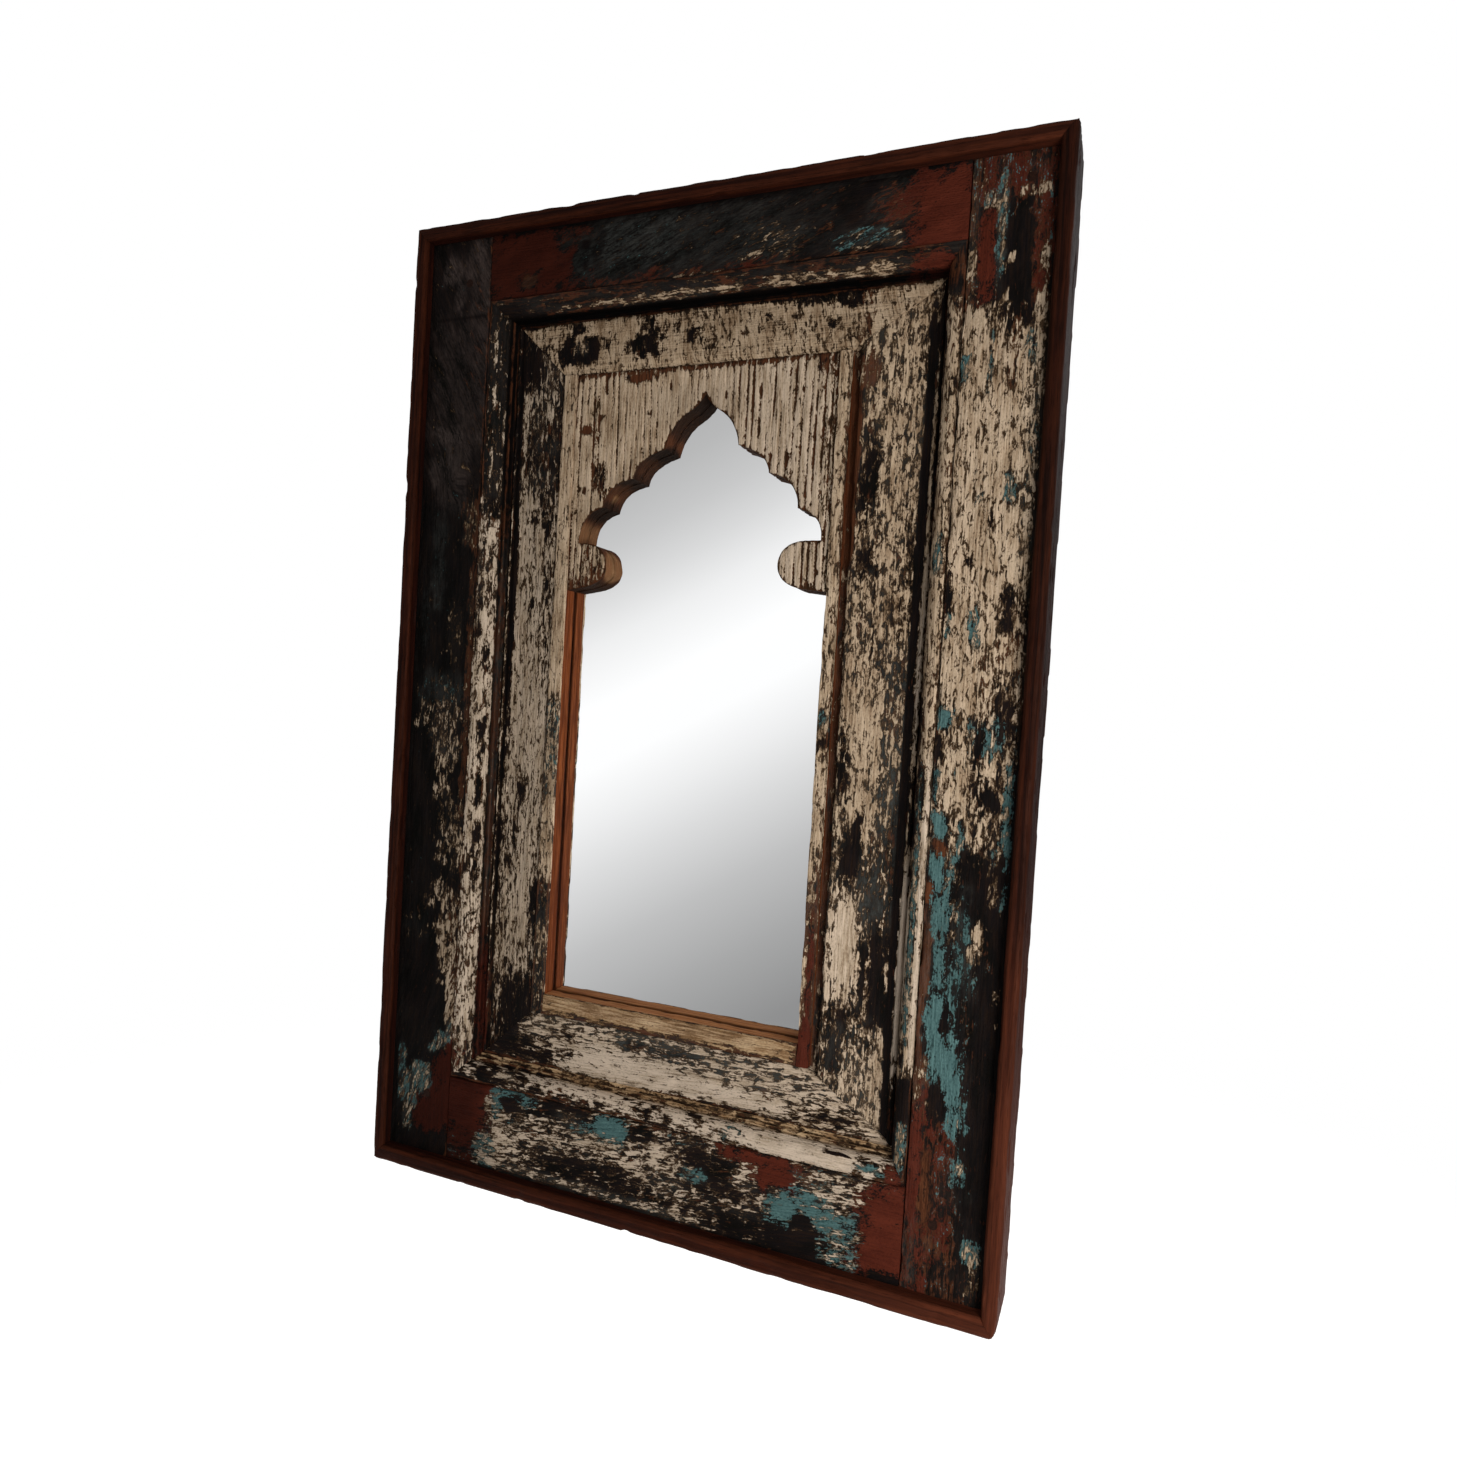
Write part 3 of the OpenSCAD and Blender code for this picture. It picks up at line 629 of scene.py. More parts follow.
class Tree:
    def __init__(self, name):
        self.mat = bpy.data.materials.new(name)
        self.mat.use_nodes = True
        self.nt = self.mat.node_tree
        self.nt.nodes.clear()
        self.out = self.nt.nodes.new("ShaderNodeOutputMaterial")

    def node(self, kind, **props):
        n = self.nt.nodes.new(kind)
        for k, v in props.items():
            setattr(n, k, v)
        return n

    def put(self, socket, value):
        if value is None:
            return
        if isinstance(value, bpy.types.NodeSocket):
            self.nt.links.new(value, socket)
        else:
            socket.default_value = value

    def attr(self, name):
        return self.node("ShaderNodeAttribute", attribute_type="GEOMETRY", attribute_name=name).outputs["Fac"]

    def vec(self, name):
        return self.node("ShaderNodeAttribute", attribute_type="GEOMETRY", attribute_name=name).outputs["Vector"]

    def position(self):
        return self.node("ShaderNodeNewGeometry").outputs["Position"]

    def object_place(self):
        return self.node("ShaderNodeTexCoord").outputs["Object"]

    def mapped(self, vector, scale, shift=(0, 0, 0), turn=(0, 0, 0)):
        n = self.node("ShaderNodeMapping", vector_type="POINT")
        self.put(n.inputs["Vector"], vector)
        n.inputs["Location"].default_value = shift
        n.inputs["Rotation"].default_value = turn
        n.inputs["Scale"].default_value = scale
        return n.outputs["Vector"]

    def noise(self, vector, scale=1.0, detail=3.0, rough=0.55, distort=0.0):
        n = self.node("ShaderNodeTexNoise", noise_dimensions="3D")
        self.put(n.inputs["Vector"], vector)
        n.inputs["Scale"].default_value = scale
        n.inputs["Detail"].default_value = detail
        n.inputs["Roughness"].default_value = rough
        n.inputs["Distortion"].default_value = distort
        return n.outputs["Fac"]

    def voronoi(self, vector, scale=1.0, feature="F1", random=1.0):
        n = self.node("ShaderNodeTexVoronoi", feature=feature)
        self.put(n.inputs["Vector"], vector)
        n.inputs["Scale"].default_value = scale
        n.inputs["Randomness"].default_value = random
        return n.outputs["Distance"]

    def math(self, op, a, b=None, clamp=False):
        n = self.node("ShaderNodeMath", operation=op, use_clamp=clamp)
        self.put(n.inputs[0], a)
        if b is not None:
            self.put(n.inputs[1], b)
        return n.outputs[0]

    def span(self, value, lo, hi, to_lo=0.0, to_hi=1.0, ease=False, clamp=True):
        n = self.node("ShaderNodeMapRange", clamp=clamp, interpolation_type="SMOOTHSTEP" if ease else "LINEAR")
        self.put(n.inputs["Value"], value)
        self.put(n.inputs["From Min"], lo)
        self.put(n.inputs["From Max"], hi)
        n.inputs["To Min"].default_value = to_lo
        n.inputs["To Max"].default_value = to_hi
        return n.outputs["Result"]

    def mix(self, fac, a, b, blend="MIX"):
        n = self.node("ShaderNodeMix", data_type="RGBA", blend_type=blend)
        self.put(n.inputs[0], fac)
        self.put(n.inputs[6], a)
        self.put(n.inputs[7], b)
        return n.outputs[2]

    def bump(self, height, distance, strength=1.0, normal=None):
        n = self.node("ShaderNodeBump")
        n.inputs["Strength"].default_value = strength
        n.inputs["Distance"].default_value = distance
        self.put(n.inputs["Height"], height)
        if normal is not None:
            self.put(n.inputs["Normal"], normal)
        return n.outputs["Normal"]

    def surface(self, color, rough, normal=None, metallic=0.0, specular=0.5, coat=0.0, coat_rough=0.3):
        n = self.node("ShaderNodeBsdfPrincipled")
        self.put(n.inputs["Base Color"], color)
        self.put(n.inputs["Roughness"], rough)
        self.put(n.inputs["Normal"], normal)
        n.inputs["Metallic"].default_value = metallic
        n.inputs["Specular IOR Level"].default_value = specular
        n.inputs["Coat Weight"].default_value = coat
        n.inputs["Coat Roughness"].default_value = coat_rough
        self.nt.links.new(n.outputs["BSDF"], self.out.inputs["Surface"])
        return self.mat


FRESH = (lin(216, 199, 181), lin(176, 158, 136), lin(128, 106, 84))
AGED = (lin(205, 177, 141), lin(158, 126, 92), lin(104, 74, 47))
THIN = lin(100, 78, 57)
FILM = lin(94, 99, 97)
BLACK = lin(25, 20, 22)
BLACK_2 = lin(12, 11, 9)
BROWN = lin(38, 26, 19)
TEAL = lin(93, 128, 129)
TEAL_2 = lin(60, 89, 91)
OXIDE = lin(104, 48, 34)
OXIDE_2 = lin(66, 27, 19)
RAW = lin(112, 68, 44)
RAW_2 = lin(56, 31, 21)


def paint_material(name, spec=0.035, grooves=False):
    """Coats of old paint over dark wood. Point attributes say how much of each is left."""
    T = Tree(name)
    g = T.vec("grain")
    f = T.vec("lie")

    def lay(vector, along, across, shift, detail=4, rough=0.6, distort=0.0):
        return T.span(T.noise(T.mapped(vector, (1 / along, 1 / across, 1), shift), 1.0, detail, rough, distort),
                      0.30, 0.70, clamp=False)

    flake = lay(f, 7.2, 3.0, (0, 0, 0), 4, 0.58, 0.8)
    flake2 = lay(f, 9.0, 4.0, (31, 17, 3), 5, 0.62, 0.6)
    lines = lay(g, 30, 0.95, (5, 3, 2), 3, 0.55)
    streak = lay(f, 15, 1.4, (11, 6, 1), 4, 0.6, 0.2)
    specks = lay(f, 1.7, 1.05, (9, 4, 7), 3, 0.6, 0.3)
    broad = lay(f, 36, 11, (2, 8, 5), 3, 0.5)

    def total(*pairs):
        out = None
        for value, weight in pairs:
            part = T.math("MULTIPLY", value, weight)
            out = part if out is None else T.math("ADD", out, part)
        return out

    # this attribute is painted shade with some dirt: it thins the paint and darkens the colour in corners and joints
    hollow = T.attr("hollow")
    n_cream = T.math("ADD", total((flake, 0.48), (flake2, 0.10), (streak, 0.16), (specks, 0.16), (lines, 0.10), (hollow, 0.30)), 0.01)
    n_teal = total((flake2, 0.50), (streak, 0.20), (specks, 0.30), (hollow, 0.2))
    n_oxide = total((broad, 0.30), (flake2, 0.34), (specks, 0.36))
    n_raw = total((flake2, 0.4), (streak, 0.35), (broad, 0.25))
    n_film = total((streak, 0.26), (specks, 0.24), (broad, 0.22), (flake, 0.28))

    def past(field, n):
        return T.math("SUBTRACT", T.attr(field), n)

    raw_cover = T.math("MAXIMUM", T.attr("raw"), T.math("MULTIPLY", T.attr("edge"), 0.60))
    raw = T.span(T.math("SUBTRACT", raw_cover, n_raw), -0.08, 0.08)
    d_cream = past("cream", n_cream)
    if grooves:
        cut = T.span(T.attr("lost"), 0.45, 1.15)
        d_cream = T.math("SUBTRACT", d_cream, T.math("MULTIPLY", cut, 0.5))
    full = T.span(d_cream, -0.012, 0.07)
    thin = T.span(d_cream, -0.13, 0.0)
    film = T.math("MULTIPLY", T.math("MULTIPLY", T.attr("film"), 0.1) if grooves else T.attr("film"), T.span(n_film, 0.34, 0.80))
    teal = T.span(past("teal", n_teal), -0.03, 0.05)
    teal_thin = T.span(past("teal", n_teal), -0.07, 0.0)
    oxide = T.span(past("oxide", n_oxide), -0.08, 0.08)

    dark = T.mix(T.span(broad, 0, 1), BLACK_2, BLACK)
    dark = T.mix(T.span(total((streak, 0.6), (broad, 0.4)), 0.45, 0.95), dark, BROWN)
    # where much cream is left, the bare spots in it are brown wood and dirt
    dark = T.mix(T.math("MULTIPLY", T.span(T.attr("cream"), 0.50, 0.60), 0.85), dark, lin(47, 34, 21))
    bare = T.mix(T.span(total((lines, 0.5), (streak, 0.5)), 0.1, 0.9), RAW_2, RAW)
    color = T.mix(raw, dark, bare)
    ox_tone = T.mix(T.span(total((lines, 0.35), (broad, 0.35), (specks, 0.3)), 0.2, 0.8), OXIDE_2, OXIDE)
    color = T.mix(oxide, color, ox_tone)
    film_tone = T.mix(T.span(T.attr("age"), 0.6, 0.85), FILM, lin(108, 94, 90))
    color = T.mix(T.math("MULTIPLY", film, 0.42), color, film_tone)
    color = T.mix(T.math("MULTIPLY", teal_thin, 0.38), color, TEAL_2)
    teal_tone = T.mix(T.span(total((specks, 0.4), (streak, 0.6)), 0.2, 0.8), TEAL, TEAL_2)
    color = T.mix(teal, color, teal_tone)
    color = T.mix(T.math("MULTIPLY", thin, 0.72), color, THIN)
    soil = total((streak, 0.42), (broad, 0.34), (specks, 0.14), (lines, 0.10))
    age = T.attr("age")
    light_tone, mid_tone, stain_tone = (T.mix(age, a, b) for a, b in zip(FRESH, AGED))
    soil = T.math("ADD", soil, T.math("MULTIPLY", T.math("SUBTRACT", age, 0.5), 0.16))
    cream_tone = T.mix(T.span(soil, 0.32, 0.64), light_tone, mid_tone)
    cream_tone = T.mix(T.math("MULTIPLY", T.span(soil, 0.56, 0.80), 0.8), cream_tone, stain_tone)
    cream_tone = T.mix(T.math("MULTIPLY", film, 0.18), cream_tone, FILM)
    color = T.mix(full, color, cream_tone)
    # dirt in the open grain; painted shade in the concave corners and joints, and a painted darkening where dim is set
    dirt = T.span(total((lines, 0.55), (specks, 0.45)), 0.58, 0.95, 1.0, 0.55)
    grime_and_shade = T.math("MULTIPLY", dirt, T.span(hollow, 0.1, 1.0, 1.0, 0.35))
    # dim darkens the colour further: painted shade
    grime_and_shade = T.math("MULTIPLY", grime_and_shade, T.span(T.attr("dim"), 0.0, 1.0, 1.0, 0.80 if grooves else 0.15))
    n = T.node("ShaderNodeMix", data_type="RGBA", blend_type="MULTIPLY")
    n.inputs[0].default_value = 1.0
    T.put(n.inputs[6], color)
    grey = T.node("ShaderNodeCombineColor")
    for c in ("Red", "Green", "Blue"):
        T.put(grey.inputs[c], grime_and_shade)
    T.put(n.inputs[7], grey.outputs[0])
    color = n.outputs[2]
    if grooves:
        color = T.mix(T.math("MULTIPLY", T.span(T.attr("lost"), 0.55, 1.25), 0.8), color, lin(60, 40, 26))

    coats = T.math("ADD", T.math("MULTIPLY", T.math("ADD", full, thin), 0.35), T.math("MULTIPLY", T.math("MAXIMUM", teal, oxide), 0.3))
    height = T.math("ADD", coats, total((lines, -0.40), (specks, -0.30), (flake, -0.25), (streak, -0.25)))
    normal = T.bump(height, 0.0008, 0.9)
    rough = T.span(T.math("ADD", full, T.math("MULTIPLY", specks, 0.3)), 0.0, 1.3, 0.62, 0.86)
    return T.surface(color, rough, normal, specular=spec)


def wood_material(name, dark, mid, light, along=60, across=1.6, spec=0.2, rough=(0.5, 0.75), coat=0.0,
                  edge_gold_highlight=None, depth=0.0004, axis=None, soot=0.45, painted_lit_tone=None):
    """Bare or stained wood: streaked grain with pores. axis names the grain's direction
    for a solid that carries no grain attribute."""
    T = Tree(name)
    g = T.object_place() if axis else T.vec("grain")

    def sized(a, b):
        if axis is None:
            return (1 / a, 1 / b, 1)
        return tuple(1000 / a if k == axis else 1000 / b for k in "xyz")

    streak = T.span(T.noise(T.mapped(g, sized(along, across)), 1.0, 5, 0.6, 0.3), 0.3, 0.7)
    band = T.span(T.noise(T.mapped(g, sized(along * 2.5, across * 5), (3, 1, 4)), 1.0, 3, 0.5), 0.3, 0.7)
    pores = T.span(T.noise(T.mapped(g, sized(9, 0.45), (8, 2, 6)), 1.0, 2, 0.5), 0.58, 0.72)
    smut = T.span(T.noise(T.mapped(g, sized(24, 11), (7, 7, 1)), 1.0, 4, 0.6), 0.42, 0.72)
    color = T.mix(streak, dark, mid)
    color = T.mix(T.math("MULTIPLY", band, T.math("MULTIPLY", streak, 0.8)), color, light)
    # convex edges turn gold: rubbed wear, and a painted highlight where the rounded edges catch the light
    if edge_gold_highlight is not None:
        rub_and_highlight = T.span(T.math("ADD", T.attr("edge"), T.math("MULTIPLY", streak, 0.35)), 0.35, 1.15)
        color = T.mix(T.math("MULTIPLY", rub_and_highlight, 0.75), color, edge_gold_highlight)
    color = T.mix(T.math("MULTIPLY", smut, soot), color, dark)
    color = T.mix(T.math("MULTIPLY", pores, 0.6), color, dark)
    if axis is None:
        # painted shade with some dirt: concave corners and joints darkened towards black
        color = T.mix(T.math("MULTIPLY", T.attr("hollow"), 0.85), color, BLACK_2)
        # where film is set, the wood is mixed towards a paler tone: painted light on faces the light falls on
        if painted_lit_tone is not None:
            new = T.math("MULTIPLY", T.attr("film"), T.span(streak, -0.3, 1.0, 0.35, 1.0))
            color = T.mix(new, color, painted_lit_tone)
        # dim darkens towards black: painted shade
        color = T.mix(T.math("MULTIPLY", T.attr("dim"), 0.92), color, BLACK_2)
    height = T.math("ADD", T.math("MULTIPLY", streak, 0.5), T.math("MULTIPLY", pores, -0.8))
    normal = T.bump(height, depth, 0.8)
    return T.surface(color, T.span(streak, 0, 1, rough[1], rough[0]), normal, specular=spec, coat=coat, coat_rough=0.45)


def metal_material(name, base, tarnish, rust, rough=(0.3, 0.6), share=0.5, fine=0.6):
    """Old hardware: base metal, dull tarnish and rust in the low spots."""
    T = Tree(name)
    g = T.object_place()
    cloud = T.span(T.noise(T.mapped(g, (1000 / 4.5,) * 3), 1.0, 5, 0.62), 0.34, 0.68)
    grit = T.span(T.noise(T.mapped(g, (1000 / fine,) * 3, (3, 7, 1)), 1.0, 3, 0.6), 0.36, 0.66)
    brush = T.span(T.noise(T.mapped(g, (1000 / 5, 1000 / 0.35, 1000 / 0.35), (1, 2, 3)), 1.0, 2, 0.5), 0.35, 0.65)
    color = T.mix(T.math("MULTIPLY", cloud, 0.8), base, tarnish)
    eaten = T.span(T.math("ADD", T.math("MULTIPLY", cloud, 0.6), T.math("MULTIPLY", grit, 0.4)), 1 - share, 1.05 - share * 0.6)
    color = T.mix(T.math("MULTIPLY", eaten, 0.85), color, rust)
    height = T.math("ADD", T.math("MULTIPLY", grit, 0.6), T.math("MULTIPLY", brush, 0.4))
    normal = T.bump(height, 0.00012, 0.8)
    T.surface(color, T.span(T.math("ADD", T.math("MULTIPLY", cloud, 0.6), T.math("MULTIPLY", eaten, 0.4)), 0, 1, *rough),
              normal, specular=0.5)
    shader = T.nt.nodes["Principled BSDF"]
    T.put(shader.inputs["Metallic"], T.span(eaten, 0, 1, 1.0, 0.15))
    return T.mat


def board_material(name):
    """Pressed hardboard: fine fibre, scuffs and water marks."""
    T = Tree(name)
    g = T.object_place()
    fibre = T.span(T.noise(T.mapped(g, (1000 / 1.1,) * 3), 1.0, 4, 0.65, 0.8), 0.3, 0.7)
    cloud = T.span(T.noise(T.mapped(g, (1000 / 60,) * 3, (2, 5, 1)), 1.0, 5, 0.6), 0.3, 0.7)
    mark = T.span(T.noise(T.mapped(g, (1000 / 26,) * 3, (9, 1, 4)), 1.0, 5, 0.7, 0.6), 0.56, 0.66)
    scuff = T.span(T.noise(T.mapped(g, (1000 / 70, 1000 / 2, 1000 / 1.2), (4, 4, 8), (0, 0.6, 0)), 1.0, 3, 0.5), 0.62, 0.7)
    color = T.mix(fibre, lin(84, 58, 38), lin(112, 80, 54))
    color = T.mix(T.math("MULTIPLY", cloud, 0.55), color, lin(72, 46, 29))
    color = T.mix(T.math("MULTIPLY", mark, 0.4), color, lin(52, 34, 23))
    color = T.mix(T.math("MULTIPLY", scuff, 0.35), color, lin(146, 116, 86))
    normal = T.bump(T.math("ADD", T.math("MULTIPLY", fibre, 0.7), T.math("MULTIPLY", scuff, -0.5)), 0.00018, 0.8)
    return T.surface(color, T.span(cloud, 0, 1, 0.5, 0.72), normal, specular=0.25)


M_PAINT = paint_material("worn_paint")
M_ARCH = paint_material("worn_paint_arch", grooves=True)
M_LIP = wood_material("lipping_wood", lin(18, 8, 6), lin(43, 17, 11), lin(64, 28, 18), 70, 2.4,
                      spec=0.035, rough=(0.42, 0.62), edge_gold_highlight=lin(98, 50, 28), painted_lit_tone=lin(140, 76, 54))
M_REVEAL = wood_material("sawn_reveal", lin(62, 27, 13), lin(114, 56, 28), lin(164, 94, 50), 40, 1.5, spec=0.04)
# a lighter copy of the reveal wood for the bottom slip's upward-facing edge: painted light
M_REVEAL_PAINTED_LIT = wood_material("sawn_reveal_painted_lit", lin(128, 76, 44), lin(190, 122, 74), lin(224, 166, 112), 30, 1.5, spec=0.04)
# the paler tone of the sawn edge is painted light on the arch walls that face up
M_SAWN = wood_material("sawn_edge", lin(36, 16, 9), lin(84, 40, 22), lin(130, 74, 42), 14, 1.2, spec=0.04, soot=0.6,
                       painted_lit_tone=lin(196, 152, 108))
M_REAR = wood_material("rear_boards", lin(82, 56, 37), lin(128, 92, 62), lin(164, 126, 88), 90, 2.2, spec=0.12)
M_PEG = wood_material("peg_end", lin(22, 12, 9), lin(40, 22, 15), lin(62, 36, 24), 1.2, 1.0, spec=0.08, axis="y", soot=0.6)
M_CARD = board_material("pressed_board")
M_IRON = metal_material("nail_iron", lin(92, 86, 80), lin(52, 46, 42), lin(84, 44, 26), (0.45, 0.85), 0.7)
M_STEEL = metal_material("screw_steel", lin(168, 164, 156), lin(118, 113, 104), lin(92, 58, 38), (0.28, 0.6), 0.35)
M_BRASS = metal_material("hanger_brass", lin(178, 142, 82), lin(112, 86, 50), lin(60, 46, 30), (0.26, 0.58), 0.45)

# ---------------------------------------------------------------------------
# Where each coat of paint is left. Each row is a patch on the chart: left, top,
# right, bottom, then the share of each coat inside it, from 0 to 1. A dim share
# is not a coat but painted shade: it darkens the colour where shade falls.
# ---------------------------------------------------------------------------


def P(x0, y0, x1, y1, rough=0.8, soft=0.5, **coats):
    return (x0, y0, x1, y1, coats, {"rough": rough, "soft": soft})


def black(x0, y0, x1, y1, left=0.03, **kw):
    return P(x0, y0, x1, y1, cream=left, teal=0.0, oxide=0.0, film=0.0, raw=0.05, **kw)


def oxide(x0, y0, x1, y1, share=0.97, **kw):
    return P(x0, y0, x1, y1, cream=0.0, teal=0.0, film=0.0, oxide=share, **kw)


def teal(x0, y0, x1, y1, share=0.95, cream=0.0, **kw):
    return P(x0, y0, x1, y1, cream=cream, teal=share, **kw)


def cream(x0, y0, x1, y1, share=0.97, **kw):
    return P(x0, y0, x1, y1, cream=share, **kw)


def bare(x0, y0, x1, y1, share=0.9, **kw):
    return P(x0, y0, x1, y1, cream=0.0, teal=0.0, film=0.0, oxide=0.0, raw=share, **kw)


FACE_R = ((0, 600, 740, 860, 900, 1140, 1200, 1500), (.72, .66, .70, .64, .42, .26, .6, .5))
STRIP_R = ((0, 190, 215, 280, 690, 790, 890, 1180, 1205, 1500), (.05, .12, .5, .84, .80, .65, .9, .85, .05, .05))

